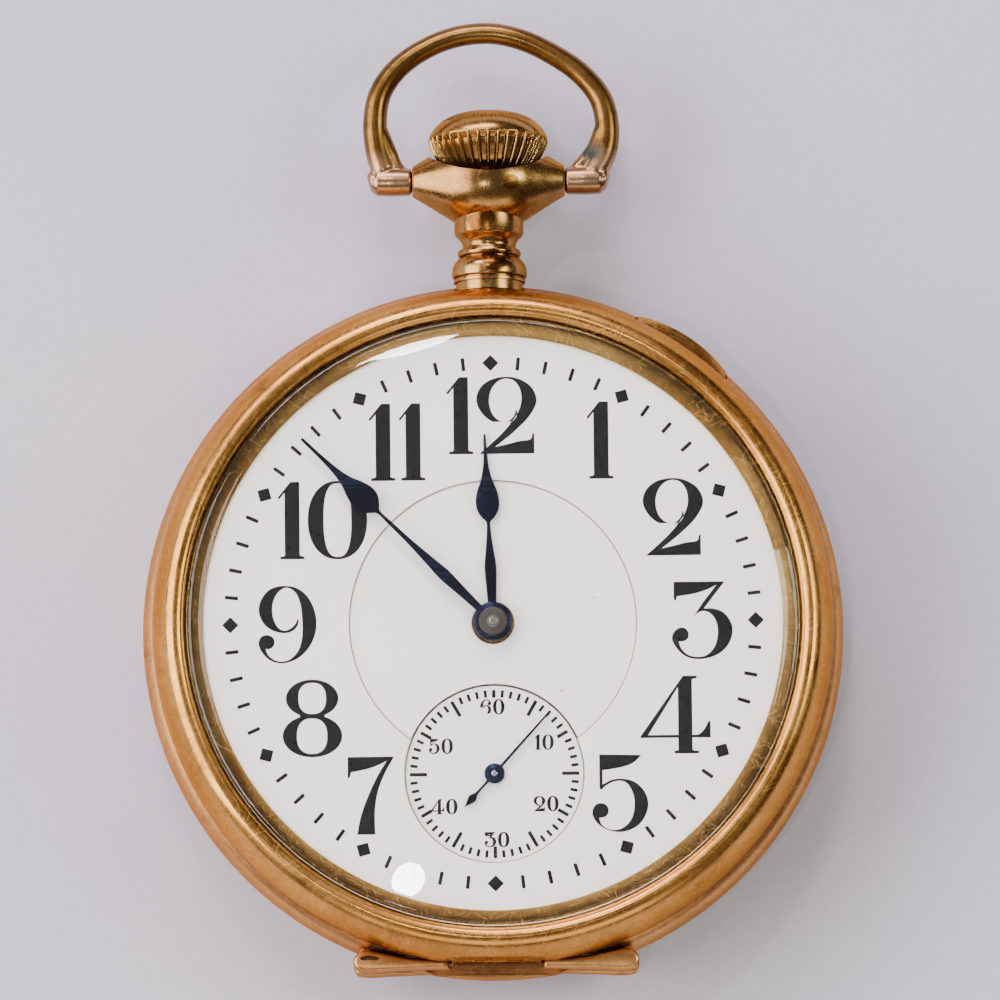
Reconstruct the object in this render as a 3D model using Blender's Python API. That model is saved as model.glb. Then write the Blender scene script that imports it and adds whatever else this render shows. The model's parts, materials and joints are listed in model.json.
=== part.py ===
"""Open face pocket watch, 16 size, with hinged bezel and back, pendant winding and a lever movement.

All driving sizes are in millimetres. Z = 0 is the flat of the back cover, +Z runs out of the dial,
+Y points to 12 o'clock and the pendant, +X to 3 o'clock.
"""

import math

import bmesh
import bpy
from mathutils import Matrix, Vector

MM = 0.001
TAU = 2 * math.pi
MERGE = 1e-4
BIG = 60.0

# Running clearances
SEAT_GAP = 0.05
RUN_GAP = 0.05
HINGE_GAP = 0.12
HINGE_END_GAP = 0.06
SNAP_GAP = 0.25

# Case
CASE_RADIUS = 25.5
CASE_WIDEST_Z = 4.8
BEZEL_JOINT_Z = 7.0
BACK_JOINT_Z = 3.4
JOINT_RADIUS = CASE_RADIUS - 0.3
CASE_BORE = CASE_RADIUS - 4.6
SNAP_RADIUS = JOINT_RADIUS - 1.4
SNAP_SWELL = 0.15
SNAP_RIM_TOP = BEZEL_JOINT_Z + 1.4
SNAP_RIM_BOTTOM = BACK_JOINT_Z - 0.55
BACK_WALL = 0.6
BACK_FLAT_RADIUS = JOINT_RADIUS - 10.2
CASE_STEPS = 44
PLATE_STEPS = CASE_STEPS

# Bezel, crystal and dial
BEZEL_TOP_Z = 11.85
CRYSTAL_RADIUS = CASE_RADIUS - 3.3
CRYSTAL_SEAT_Z = 10.72
CRYSTAL_EDGE_Z = 11.45
CRYSTAL_TOP_Z = 13.2
CRYSTAL_WALL = 0.45
BEZEL_BORE = CRYSTAL_RADIUS + 0.08
DIAL_RADIUS = CASE_RADIUS - 3.9
DIAL_TOP_Z = 10.0
DIAL_WALL = 0.75
DIAL_SINK = 0.15
DIAL_CLEARANCE = 0.08
REFLECTOR_RADIUS = DIAL_RADIUS - 0.6
CENTRE_DISC_RADIUS = 10.45
SECONDS_DISC_RADIUS = 6.5
HANDS_HOLE = 1.55
SECONDS_HOLE = 0.5

# Thumb lips: how far they stand out, and the angles they run between
LIP_REACH = 0.55
BEZEL_LIP = (47, 65)
BACK_LIP = (118, 132)

# Case hinges at 6 o'clock
HINGE_Y = 1.0 - CASE_RADIUS
HINGE_TUBE = 0.42
HINGE_PIN = 0.22
HINGE_LENGTH = 20.7
HINGE_CENTRE = 6.6
HINGE_ROOM = HINGE_TUBE + HINGE_GAP
HINGE_NOTCH = HINGE_LENGTH / 2 + 0.3
HINGE_PIN_HALF = HINGE_LENGTH / 2 - 0.5

# Pendant, crown and bow
STEM_Z = 6.0
STEM_RADIUS = 0.6
STEM_HOLE = 0.75
PENDANT_BORE = 1.45
NECK_RADIUS = 2.5
NECK_FOOT_Y = CASE_RADIUS + 0.06
BOW_PIVOT_Y = NECK_FOOT_Y + 7.59
CROWN_RADIUS = 4.35
CROWN_BASE_Y = BOW_PIVOT_Y + 0.6
CROWN_HEIGHT = 4.55
CROWN_HUB = 1.2
CROWN_FLUTES = 30
HEAD_RADIUS = 3.6
HEAD_HALF = CROWN_RADIUS + 1.22
EAR_RADIUS = 1.15
BOW_PIN = 0.5
BOW_PIN_DEPTH = 0.95
BOW_TRUNNION = 1.0
BOW_TRUNNION_END = HEAD_HALF + 3.23
BOW_WIRE = 0.86
BOW_RISE = 11.0
BOW_SPREAD = HEAD_HALF + 3.48

# Movement
PLATE_RADIUS = DIAL_RADIUS
PLATE_LOW = 6.9
PLATE_FLOOR = 8.3
PLATE_HIGH = 9.15
DIAL_LEDGE = 17.6
BRIDGE_LOW = 3.3
BRIDGE_HIGH = 4.4
BRIDGE_RADIUS = CASE_BORE - 0.5
BARREL_BRIDGE_CHORD = 2.2
TRAIN_BRIDGE_CHORD = 1.9
CENTRE = (0.0, 0.0)
BARREL_AT = (8.2, 7.0)
THIRD_AT = (-4.32, -6.31)
FOURTH_AT = (0.0, -11.0)
ESCAPE_AT = (5.18, -13.42)
PALLET_AT = (7.4, -10.3)
PALLET_FOOT_AT = (11.6, -16.0)
BALANCE_AT = (10.5, -7.5)
COCK_FOOT_AT = (17.4, -1.2)
CLICK_AT = (1.31, 3.79)
BALANCE_RADIUS = 7.3
BALANCE_SCREWS = 10
CROWN_WHEEL_AT = (0.0, 13.6)
PILLARS_AT = ((-16.6, 7.0), (18.6, 4.2), (-8.0, -17.0), (-16.6, -4.6))
CASE_SCREW_CIRCLE = CASE_BORE - 1.33
CASE_SCREWS_AT = tuple((CASE_SCREW_CIRCLE * math.cos(math.radians(a)), CASE_SCREW_CIRCLE * math.sin(math.radians(a)))
                       for a in (166.4, 46.0))
SETTING_AT = (0.0, 9.6)
MINUTE_WHEEL_AT = (0.0, 3.84)
PIVOT = 0.12
SCREW_HOLE = 0.38
SCREW_HEAD = 0.42
BIG_ARBOR = 0.6
STUD = 0.35
CANNON_PIPE = 0.6
CANNON_TOP = 0.44
HOUR_PIPE = 0.7
SCREW_CLEAR = 0.5

# Levels of the movement, lowest and highest
BARREL_Z = (4.6, 6.2)
BARREL_COVER_Z = (5.95, 6.15)
MAINSPRING_Z = (5.02, 5.88)
CENTRE_WHEEL_Z = (6.4, 6.62)
THIRD_WHEEL_Z = (4.75, 4.95)
FOURTH_WHEEL_Z = (5.98, 6.16)
ESCAPE_WHEEL_Z = (5.22, 5.4)
PALLET_Z = (5.2, 5.42)
PALLET_BRIDGE_Z = (4.55, 4.95)
BALANCE_Z = (3.8, 4.3)
BALANCE_COCK_Z = (2.95, 3.55)
HAIRSPRING_Z = (3.62, 3.74)
REGULATOR_Z = (2.72, 2.9)
RATCHET_Z = (2.75, 3.15)
CLICK_Z = (2.78, 3.12)
CLICK_SPRING_Z = (2.85, 3.1)
WINDING_PINION_Y = (16.3, 17.4)
CLUTCH_Y = (14.3, 15.9)
CANNON_Z = (8.38, 8.72)
MINUTE_WHEEL_Z = (8.42, 8.62)
HOUR_WHEEL_Z = (8.82, 9.02)
HOUR_HAND_Z = (10.2, 10.35)
MINUTE_HAND_Z = (10.62, 10.77)
SECOND_HAND_Z = (9.93, 10.05)
ARBOR_FOOT_Z = 3.35
PIVOT_TOP_Z = 8.2

# Tooth counts
BARREL_TEETH = 78
CENTRE_PINION_TEETH = 12
CENTRE_TEETH = 80
THIRD_TEETH = 75
FOURTH_TEETH = 80
PINION_TEETH = 10
ESCAPE_TEETH = 15
ESCAPE_PINION_TEETH = 8
RATCHET_TEETH = 60
CROWN_WHEEL_TEETH = 45
CANNON_TEETH = 12
MINUTE_TEETH = 36
MINUTE_PINION_TEETH = 10
HOUR_TEETH = 40
CROWN_FACE_TEETH = 30
WINDING_TEETH = 16


def clear_scene():
    for item in list(bpy.data.objects):
        bpy.data.objects.remove(item, do_unlink=True)


def metal(name, colour, roughness, metallic=1.0):
    made = bpy.data.materials.new(name)
    made.use_nodes = True
    made.diffuse_color = (*colour, 1.0)
    shader = made.node_tree.nodes["Principled BSDF"]
    shader.inputs["Base Color"].default_value = (*colour, 1.0)
    shader.inputs["Roughness"].default_value = roughness
    shader.inputs["Metallic"].default_value = metallic
    return made


# Mesh makers. They work in millimetres and scale to metres when the object is made.


def turned(profile, steps=32):
    """Spins an (r, z) profile about Z. It is closed by the axis, or on itself where it stays off the axis."""
    bm = bmesh.new()
    verts = [bm.verts.new((r, 0.0, z)) for r, z in profile]
    edges = [bm.edges.new(pair) for pair in zip(verts, verts[1:])]
    if profile[0][0] > 0:
        edges.append(bm.edges.new((verts[-1], verts[0])))
    bmesh.ops.spin(
        bm,
        geom=verts + edges,
        cent=(0, 0, 0),
        axis=(0, 0, 1),
        angle=TAU,
        steps=steps,
        use_merge=True,
    )
    bmesh.ops.remove_doubles(bm, verts=bm.verts, dist=MERGE)
    bmesh.ops.recalc_face_normals(bm, faces=bm.faces)
    return bm


def plate(loops, low, high):
    """A flat plate: the first loop is its outline and any others are holes."""
    bm = bmesh.new()
    edges = []
    for loop in loops:
        verts = [bm.verts.new((x, y, low)) for x, y in loop]
        edges += [bm.edges.new(pair) for pair in zip(verts, verts[1:] + verts[:1])]
    bmesh.ops.triangle_fill(bm, use_beauty=True, edges=edges, normal=(0, 0, 1))
    made = bmesh.ops.extrude_face_region(bm, geom=bm.faces[:])
    raised = [v for v in made["geom"] if isinstance(v, bmesh.types.BMVert)]
    bmesh.ops.translate(bm, verts=raised, vec=(0, 0, high - low))
    bmesh.ops.recalc_face_normals(bm, faces=bm.faces)
    return bm


def box(x_range, y_range, z_range):
    bm = bmesh.new()
    bmesh.ops.create_cube(bm, size=1.0)
    low = Vector((x_range[0], y_range[0], z_range[0]))
    high = Vector((x_range[1], y_range[1], z_range[1]))
    bm.transform(Matrix.Translation((low + high) / 2) @ Matrix.Diagonal((*(high - low), 1.0)))
    return bm


def rod(radius, low, high, steps=16, at=(0.0, 0.0)):
    bm = turned([(0, low), (radius, low), (radius, high), (0, high)], steps)
    bm.transform(Matrix.Translation((*at, 0.0)))
    return bm


def tube(inner, outer, low, high, steps=24):
    return turned([(inner, low), (outer, low), (outer, high), (inner, high)], steps)


def along_x(bm):
    """Lays a shape made about Z along X."""
    bm.transform(Matrix.Rotation(math.pi / 2, 4, "Y"))
    return bm


def along_y(bm):
    """Lays a shape made about Z along Y, so that its z becomes y."""
    bm.transform(Matrix.Rotation(-math.pi / 2, 4, "X"))
    return bm


def moved(bm, x, y, z):
    bm.transform(Matrix.Translation((x, y, z)))
    return bm


def circle(centre, radius, steps=24, start=0.0):
    return [
        (
            centre[0] + radius * math.cos(start + TAU * k / steps),
            centre[1] + radius * math.sin(start + TAU * k / steps),
        )
        for k in range(steps)
    ]


def gear_outline(teeth, module, phase=0.0, height=0.72, depth=1.0, tip=0.22):
    """Trapezoid teeth, one of them centred on the angle phase. With no tip width they come to a point."""
    pitch = teeth * module / 2
    step = TAU / teeth
    crest = [(height, -tip), (height, tip)] if tip else [(height, 0.0)]
    points = []
    for k in range(teeth):
        middle = phase + k * step
        sides = [(-depth, -0.30), *crest, (-depth, 0.30)] if tip else [*crest, (-depth, 0.5)]
        for reach, side in sides:
            radius = pitch + reach * module
            angle = middle + side * step
            points.append((radius * math.cos(angle), radius * math.sin(angle)))
    return points


def wheel_outline(teeth, module, phase=0.0):
    return gear_outline(teeth, module, phase, tip=0.0)


def facing(start, end):
    return math.atan2(end[1] - start[1], end[0] - start[0])


def gap_phase(teeth, angle):
    """The phase that puts the middle of a gap at this angle."""
    return angle + math.pi / teeth


def spoke_holes(spokes, inner, outer, bar, start=0.0, arc=2):
    """The windows between the spokes of a wheel."""
    holes = []
    for k in range(spokes):
        low = start + TAU * k / spokes
        high = start + TAU * (k + 1) / spokes
        loop = []
        for radius, order in ((outer, 1), (inner, -1)):
            trim = math.asin(bar / 2 / radius)
            angles = [low + trim + (high - low - 2 * trim) * i / arc for i in range(arc + 1)]
            loop += [(radius * math.cos(a), radius * math.sin(a)) for a in angles[::order]]
        holes.append(loop)
    return holes


def solid(name, bm, material, at=(0.0, 0.0, 0.0), sharp=35.0):
    """Makes an object whose origin is at the point `at`, in millimetres."""
    bm.transform(Matrix.Scale(MM, 4) @ Matrix.Translation(-Vector(at)))
    mesh = bpy.data.meshes.new(name)
    bm.to_mesh(mesh)
    bm.free()
    item = bpy.data.objects.new(name, mesh)
    item.location = Vector(at) * MM
    bpy.context.scene.collection.objects.link(item)
    if material:
        mesh.materials.append(material)
        mesh.shade_smooth()
        mesh.set_sharp_from_angle(angle=math.radians(sharp))
    return item


def helper(bm):
    item = solid("helper", bm, None)
    item.hide_render = True
    item.display_type = "WIRE"
    return item


def combine(item, operation, *shapes):
    """Each shape is a mesh maker's result or a helper object that has its own cuts."""
    for shape in shapes:
        modifier = item.modifiers.new(operation.lower(), "BOOLEAN")
        modifier.operation = operation
        modifier.solver = "EXACT"
        modifier.object = shape if isinstance(shape, bpy.types.Object) else helper(shape)


def cut(item, *shapes):
    combine(item, "DIFFERENCE", *shapes)


def add(item, *shapes):
    combine(item, "UNION", *shapes)


# Case


def hinge_knuckle(low, high, z):
    bm = along_x(tube(HINGE_PIN + RUN_GAP / 2, HINGE_TUBE, low, high, 10))
    return moved(bm, 0.0, HINGE_Y, z)


def case_centre(gold):
    ledge = PLATE_FLOOR - 0.4
    seat = PLATE_RADIUS + SEAT_GAP
    profile = [
        (CASE_BORE, SNAP_RIM_BOTTOM),
        (SNAP_RADIUS, SNAP_RIM_BOTTOM),
        (SNAP_RADIUS + SNAP_SWELL, BACK_JOINT_Z + SEAT_GAP),
        (JOINT_RADIUS, BACK_JOINT_Z + SEAT_GAP),
        (CASE_RADIUS, CASE_WIDEST_Z),
        (CASE_RADIUS - 0.08, CASE_WIDEST_Z + 1.1),
        (JOINT_RADIUS, BEZEL_JOINT_Z - SEAT_GAP),
        (SNAP_RADIUS + 2 * SNAP_SWELL, BEZEL_JOINT_Z - SEAT_GAP),
        (SNAP_RADIUS + SNAP_SWELL, SNAP_RIM_TOP),
        (seat + 1.05, SNAP_RIM_TOP),
        (seat + 1.05, ledge),
        (seat, ledge),
        (seat, PLATE_LOW - SEAT_GAP),
        (CASE_BORE, PLATE_LOW - SEAT_GAP),
    ]
    band = solid("case_centre", turned(profile, CASE_STEPS), gold)
    stem_hole = along_y(rod(STEM_HOLE, CASE_BORE - 2.0, CASE_RADIUS + 4.5, 16))
    cut(band, moved(stem_hole, 0.0, 0.0, STEM_Z))
    recess = HINGE_CENTRE / 2 + 1.95
    for z, side in ((BEZEL_JOINT_Z, -1), (BACK_JOINT_Z, 1)):
        notch = sorted((z - side * 1.0, z + side * HINGE_ROOM))
        cut(band, box((-HINGE_NOTCH, HINGE_NOTCH), (-BIG, HINGE_Y + HINGE_ROOM + HINGE_GAP), notch))
        cut(band, box((-recess, recess), (-BIG, HINGE_Y + 0.2), sorted((z, z + side * 1.15))))
    for z, inward in ((BEZEL_JOINT_Z, -1), (BACK_JOINT_Z, 1)):
        for side in (-1, 1):
            add(band, *outer_knuckle(z, inward, side))
    return band


def outer_knuckle(z, inward, side):
    """One end knuckle of a hinge with the two steps that carry it on the band."""
    near, far = sorted((side * (HINGE_CENTRE / 2 + HINGE_END_GAP), side * HINGE_LENGTH / 2))
    shelf = sorted((z + inward * (HINGE_PIN + 0.09), z + inward * (HINGE_TUBE + 0.32)))
    back = sorted((z + inward * HINGE_PIN / 2, z + inward * (HINGE_TUBE + 0.24)))
    return (
        hinge_knuckle(near, far, z),
        box((near + 0.05, far - 0.05), (HINGE_Y - 0.2, HINGE_Y + 2.4), shelf),
        box((near + 0.1, far - 0.1), (HINGE_Y + 0.2, HINGE_Y + 2.3), back),
    )


def hinge_pins(steel):
    for name, z in (("bezel_hinge_pin", BEZEL_JOINT_Z), ("back_hinge_pin", BACK_JOINT_Z)):
        pin = along_x(rod(HINGE_PIN, -HINGE_PIN_HALF, HINGE_PIN_HALF, 10))
        solid(name, moved(pin, 0.0, HINGE_Y, z), steel, (0.0, HINGE_Y, z))


def hinge_leaf(z, inward):
    """The centre knuckle of a cover with the web that ties it to the cover."""
    half = HINGE_CENTRE / 2 - HINGE_END_GAP
    web = sorted((z + inward * (HINGE_PIN + 0.06), z + inward * (HINGE_TUBE + 0.4)))
    return (
        hinge_knuckle(-half, half, z),
        box((-half, half), (HINGE_Y - 0.25, HINGE_Y + 0.33), web),
    )


def hinge_notch(z_range):
    """What is cut from a cover's edge to clear the hinge's tubes."""
    return box((-HINGE_NOTCH, HINGE_NOTCH), (-BIG, HINGE_Y + HINGE_ROOM + HINGE_END_GAP), z_range)


def thumb_lip(profile, angles):
    """A short lip on a cover's edge: a turned ring kept only between two angles in degrees."""
    lip = helper(turned(profile, 2 * CASE_STEPS))
    low, high = (math.radians(angle) for angle in angles)
    arc = [low + (high - low) * k / 12 for k in range(13)]
    wedge = [(0.0, 0.0)] + [(BIG * math.cos(a), BIG * math.sin(a)) for a in arc]
    combine(lip, "INTERSECT", plate([wedge], -1.0, BIG))
    return lip


def bezel(gold):
    low = BEZEL_JOINT_Z + SEAT_GAP
    inside = SNAP_RADIUS + SNAP_SWELL + SNAP_GAP
    under = DIAL_TOP_Z + DIAL_CLEARANCE
    profile = [
        (inside, low),
        (JOINT_RADIUS, low),
        (JOINT_RADIUS - 0.05, BEZEL_TOP_Z - 3.25),
        (JOINT_RADIUS - 0.5, BEZEL_TOP_Z - 1.45),
        (JOINT_RADIUS - 1.1, BEZEL_TOP_Z - 0.45),
        (JOINT_RADIUS - 1.7, BEZEL_TOP_Z),
        (BEZEL_BORE + 0.52, BEZEL_TOP_Z - 0.15),
        (BEZEL_BORE, BEZEL_TOP_Z - 0.75),
        (BEZEL_BORE, CRYSTAL_SEAT_Z),
        (CRYSTAL_RADIUS - 0.4, CRYSTAL_SEAT_Z),
        (REFLECTOR_RADIUS, CRYSTAL_SEAT_Z - 0.52),
        (REFLECTOR_RADIUS, under),
        (BEZEL_BORE, under),
        (inside, DIAL_TOP_Z - 0.8),
    ]
    ring = solid("bezel", turned(profile, CASE_STEPS), gold, (0.0, HINGE_Y, BEZEL_JOINT_Z))
    cut(ring, hinge_notch((0.0, BEZEL_JOINT_Z + HINGE_ROOM)))
    add(ring, *hinge_leaf(BEZEL_JOINT_Z, 1))
    tip = JOINT_RADIUS + LIP_REACH
    lip = [(JOINT_RADIUS - 0.3, low), (tip, low), (tip - 0.05, low + 0.3), (JOINT_RADIUS - 0.2, low + 0.7)]
    add(ring, thumb_lip(lip, BEZEL_LIP))
    return ring


def crystal_dome(radius, edge_z, rise, shares):
    """Points of a dome that falls from its middle to edge_z at this radius."""
    return [(radius * share, edge_z + rise * (1 - share**2)) for share in shares]


def crystal(glass):
    rise = CRYSTAL_TOP_Z - CRYSTAL_EDGE_Z
    low = CRYSTAL_SEAT_Z + SEAT_GAP
    outer = crystal_dome(CRYSTAL_RADIUS - 0.3, CRYSTAL_EDGE_Z, rise, (0.0, 0.4, 0.75, 1.0))
    inner = crystal_dome(
        CRYSTAL_RADIUS - 1.0, CRYSTAL_EDGE_Z - CRYSTAL_WALL, rise - 0.35, (1.0, 0.66, 0.33, 0.0)
    )
    rim = [(CRYSTAL_RADIUS, CRYSTAL_EDGE_Z - 0.2), (CRYSTAL_RADIUS, low)]
    rim.append((CRYSTAL_RADIUS - CRYSTAL_WALL, low))
    solid("crystal", turned(outer + rim + inner, CASE_STEPS), glass, (0.0, HINGE_Y, BEZEL_JOINT_Z))


def back_cover(gold):
    dish = [
        (JOINT_RADIUS - 5.2, 0.15 * BACK_JOINT_Z),
        (JOINT_RADIUS - 2.3, 0.40 * BACK_JOINT_Z),
        (JOINT_RADIUS - 0.5, 0.74 * BACK_JOINT_Z),
    ]
    inside = SNAP_RADIUS + SNAP_SWELL + SNAP_GAP - 0.05
    lining = [(r - 0.7 * BACK_WALL, z + 0.9 * BACK_WALL) for r, z in dish[1::-1]]
    profile = [(0.0, 0.0), (BACK_FLAT_RADIUS, 0.0), *dish, (JOINT_RADIUS, BACK_JOINT_Z)]
    profile += [(inside, BACK_JOINT_Z), (inside - 0.05, BACK_JOINT_Z - 0.65), *lining]
    profile += [(BACK_FLAT_RADIUS, BACK_WALL), (0.0, BACK_WALL)]
    cover = solid("back_cover", turned(profile, CASE_STEPS), gold, (0.0, HINGE_Y, BACK_JOINT_Z))
    cut(cover, hinge_notch((BACK_JOINT_Z - HINGE_ROOM, BIG)))
    add(cover, *hinge_leaf(BACK_JOINT_Z, -1))
    root, tip = JOINT_RADIUS - 0.6, JOINT_RADIUS + LIP_REACH
    low, high = BACK_JOINT_Z - 0.45, BACK_JOINT_Z - SEAT_GAP
    add(cover, thumb_lip([(root, low), (tip, low), (tip, high), (root, high)], BACK_LIP))
    return cover


# Pendant group


def about_stem(bm):
    """Lays a shape made about Z along the stem."""
    return moved(along_y(bm), 0.0, 0.0, STEM_Z)


def pendant(gold):
    steps = (
        (0.1, 0.0),
        (0.22, 0.44),
        (-0.2, 1.74),
        (-0.4, 1.84),
        (-0.22, 2.04),
        (-0.22, 2.49),
        (-0.58, 2.79),
        (0.0, 3.54),
        (0.0, 6.04),
    )
    neck = [(NECK_RADIUS + swell, NECK_FOOT_Y + rise) for swell, rise in steps]
    neck = [(0.0, neck[0][1]), *neck, (0.0, neck[-1][1])]
    item = solid("pendant", about_stem(turned(neck, 20)), gold)
    ear = [
        (0.0, HEAD_HALF),
        (EAR_RADIUS, HEAD_HALF),
        (EAR_RADIUS + 0.6, 0.83 * HEAD_HALF),
        (HEAD_RADIUS - 0.6, 0.47 * HEAD_HALF),
        (HEAD_RADIUS, 0.16 * HEAD_HALF),
    ]
    head = [(r, -x) for r, x in ear] + ear[::-1]
    add(item, moved(along_x(turned(head, 22)), 0.0, BOW_PIVOT_Y, STEM_Z))
    recess = [
        (0.0, NECK_FOOT_Y - 5.0),
        (PENDANT_BORE, NECK_FOOT_Y - 5.0),
        (PENDANT_BORE, CROWN_BASE_Y - 1.35),
        (CROWN_RADIUS - 1.35, CROWN_BASE_Y - 1.15),
        (CROWN_RADIUS - 0.85, CROWN_BASE_Y - 0.55),
        (CROWN_RADIUS - 0.05, CROWN_BASE_Y + 0.85),
        (CROWN_RADIUS + 0.35, CROWN_BASE_Y + 2.25),
        (CROWN_RADIUS + 0.85, CROWN_BASE_Y + 6.25),
        (0.0, CROWN_BASE_Y + 6.25),
    ]
    cut(item, about_stem(turned(recess, 20)))
    for side in (-1, 1):
        near, far = sorted((side * (HEAD_HALF - BOW_PIN_DEPTH - 0.07), side * (HEAD_HALF + 1.4)))
        ear_hole = along_x(rod(BOW_PIN + RUN_GAP, near, far, 16))
        cut(item, moved(ear_hole, 0.0, BOW_PIVOT_Y, STEM_Z))
    return item


def pendant_sleeve(steel):
    sleeve = tube(STEM_RADIUS + 0.25, PENDANT_BORE - 0.04, NECK_FOOT_Y + 0.34, BOW_PIVOT_Y - 2.65, 20)
    solid("pendant_sleeve", about_stem(sleeve), steel)


def crown(gold):
    """An onion crown: rounded top, fluted below the shoulder, hollow socket for the stem."""
    # rise above the base, how far inside the full radius, depth of the flutes
    rows = (
        (0.0, 2.05, 0.08),
        (0.85, 0.7, 0.16),
        (1.95, 0.05, 0.18),
        (2.75, 0.15, 0.08),
        (3.35, 0.6, 0.0),
        (4.15, 1.95, 0.0),
    )
    bm = bmesh.new()
    steps = 2 * CROWN_FLUTES
    rings = []
    for rise, inside, flute in rows:
        ring = []
        for k in range(steps):
            reach = CROWN_RADIUS - inside - (flute if k % 2 else 0.0)
            angle = TAU * k / steps
            y = CROWN_BASE_Y + rise
            ring.append(bm.verts.new((reach * math.sin(angle), y, reach * math.cos(angle))))
        rings.append(ring)
    for one, two in zip(rings, rings[1:]):
        for k in range(steps):
            j = (k + 1) % steps
            bm.faces.new((one[k], one[j], two[j], two[k]))
    top = bm.verts.new((0.0, CROWN_BASE_Y + CROWN_HEIGHT, 0.0))
    for k in range(steps):
        bm.faces.new((rings[-1][k], rings[-1][(k + 1) % steps], top))
    bm.faces.new(rings[0])
    bmesh.ops.recalc_face_normals(bm, faces=bm.faces)
    item = solid("crown", moved(bm, 0.0, 0.0, STEM_Z), gold, (0.0, CROWN_BASE_Y, STEM_Z))
    add(item, about_stem(rod(CROWN_HUB, CROWN_BASE_Y - 1.85, CROWN_BASE_Y + 0.45, 24)))
    socket = rod(STEM_RADIUS + 0.03, CROWN_BASE_Y - 3.75, stem_end() + 0.1, 16)
    cut(item, about_stem(socket))
    return item


def stem_end():
    return CROWN_BASE_Y + 2.65


def winding_stem(steel):
    """Square end in the clutch, then a pilot in the winding pinion, then the full shank."""
    wheel_y = CROWN_WHEEL_AT[1]
    steps = ((0.3, wheel_y - 0.6), (0.45, wheel_y + 0.6), (STEM_RADIUS, wheel_y + 4.6))
    profile = [(0.0, steps[0][1])]
    for (radius, start), after in zip(steps, [*[y for _, y in steps[1:]], stem_end()]):
        profile += [(radius, start), (radius, after)]
    profile.append((0.0, stem_end()))
    solid("winding_stem", about_stem(turned(profile, 16)), steel, (0.0, steps[2][1], STEM_Z))


def bow(gold):
    """A rounded bow on two trunnions whose pins sit in the ears of the pendant."""
    # shares of the bow's half width and of its rise
    shares = [(0.889, 0.018), (0.989, 0.173), (1.0, 0.345), (0.923, 0.555)]
    shares += [(0.729, 0.782), (0.486, 0.918), (0.243, 0.982)]
    half = [(x * BOW_SPREAD, y * BOW_RISE) for x, y in shares]
    path = half + [(0.0, BOW_RISE)] + [(-x, y) for x, y in half[::-1]]
    curve = bpy.data.curves.new("bow_path", "CURVE")
    curve.dimensions = "3D"
    curve.bevel_depth = BOW_WIRE * MM
    curve.bevel_resolution = 1
    curve.resolution_u = 2
    curve.use_fill_caps = True
    spline = curve.splines.new("BEZIER")
    spline.bezier_points.add(len(path) - 1)
    for point, (x, y) in zip(spline.bezier_points, path):
        point.co = (x * MM, (BOW_PIVOT_Y + y) * MM, STEM_Z * MM)
        point.handle_left_type = "AUTO"
        point.handle_right_type = "AUTO"
        point.radius = 1.12 - 0.22 * min(1.0, 1.1 * y / BOW_RISE)
    wire = bpy.data.objects.new("helper", curve)
    bpy.context.scene.collection.objects.link(wire)
    graph = bpy.context.evaluated_depsgraph_get()
    mesh = bpy.data.meshes.new_from_object(wire.evaluated_get(graph))
    bpy.data.objects.remove(wire)
    bm = bmesh.new()
    bm.from_mesh(mesh)
    bmesh.ops.remove_doubles(bm, verts=bm.verts, dist=MERGE * MM)
    bm.transform(Matrix.Scale(1 / MM, 4))
    bmesh.ops.recalc_face_normals(bm, faces=bm.faces)
    pivot = (0.0, BOW_PIVOT_Y, STEM_Z)
    item = solid("bow", bm, gold, pivot)
    for side in (-1, 1):
        profile = [
            (0.0, HEAD_HALF - BOW_PIN_DEPTH),
            (BOW_PIN, HEAD_HALF - BOW_PIN_DEPTH),
            (BOW_PIN, HEAD_HALF + 0.02),
            (BOW_TRUNNION, HEAD_HALF + 0.12),
            (BOW_TRUNNION, BOW_TRUNNION_END - 0.2),
            (BOW_TRUNNION - 0.25, BOW_TRUNNION_END),
            (0.0, BOW_TRUNNION_END),
        ]
        trunnion = along_x(turned([(r, side * x) for r, x in profile], 14))
        bmesh.ops.recalc_face_normals(trunnion, faces=trunnion.faces)
        add(item, moved(trunnion, *pivot))
    return item


# Dial and hands


def dial(enamel):
    low = DIAL_TOP_Z - DIAL_WALL
    opening = centre_outline(CENTRE_DISC_RADIUS, SECONDS_DISC_RADIUS)
    solid("dial_chapter_ring", plate([circle(CENTRE, DIAL_RADIUS, 44), opening], low, DIAL_TOP_Z), enamel)
    disc = solid(
        "dial_centre",
        plate([circle(CENTRE, CENTRE_DISC_RADIUS - 2 * SEAT_GAP, 44)], low, DIAL_TOP_Z - DIAL_SINK),
        enamel,
    )
    cut(disc, rod(SECONDS_DISC_RADIUS + SEAT_GAP, 0.0, BIG, 36, FOURTH_AT))
    cut(disc, rod(HANDS_HOLE, 0.0, BIG, 16))
    outline = circle(FOURTH_AT, SECONDS_DISC_RADIUS - 2 * SEAT_GAP, 36)
    seconds = [outline, circle(FOURTH_AT, SECONDS_HOLE, 16)]
    solid("dial_seconds", plate(seconds, low, DIAL_TOP_Z - 2 * DIAL_SINK), enamel)


def centre_outline(big, small, steps=44):
    """The outline of the centre disc and the seconds disc together."""
    reach = -FOURTH_AT[1]
    meet_y = -(big**2 - small**2 + reach**2) / (2 * reach)
    meet_x = math.sqrt(big**2 - meet_y**2)
    big_start = math.atan2(meet_y, meet_x)
    small_start = math.atan2(meet_y + reach, -meet_x)
    large = [big_start + (math.pi - 2 * big_start) * k / steps for k in range(steps + 1)]
    sweep = TAU - (small_start - math.atan2(meet_y + reach, meet_x))
    small_arc = [small_start + sweep * k / 28 for k in range(1, 28)]
    points = [(big * math.cos(a), big * math.sin(a)) for a in large]
    points += [(small * math.cos(a), -reach + small * math.sin(a)) for a in small_arc]
    return points


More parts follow.
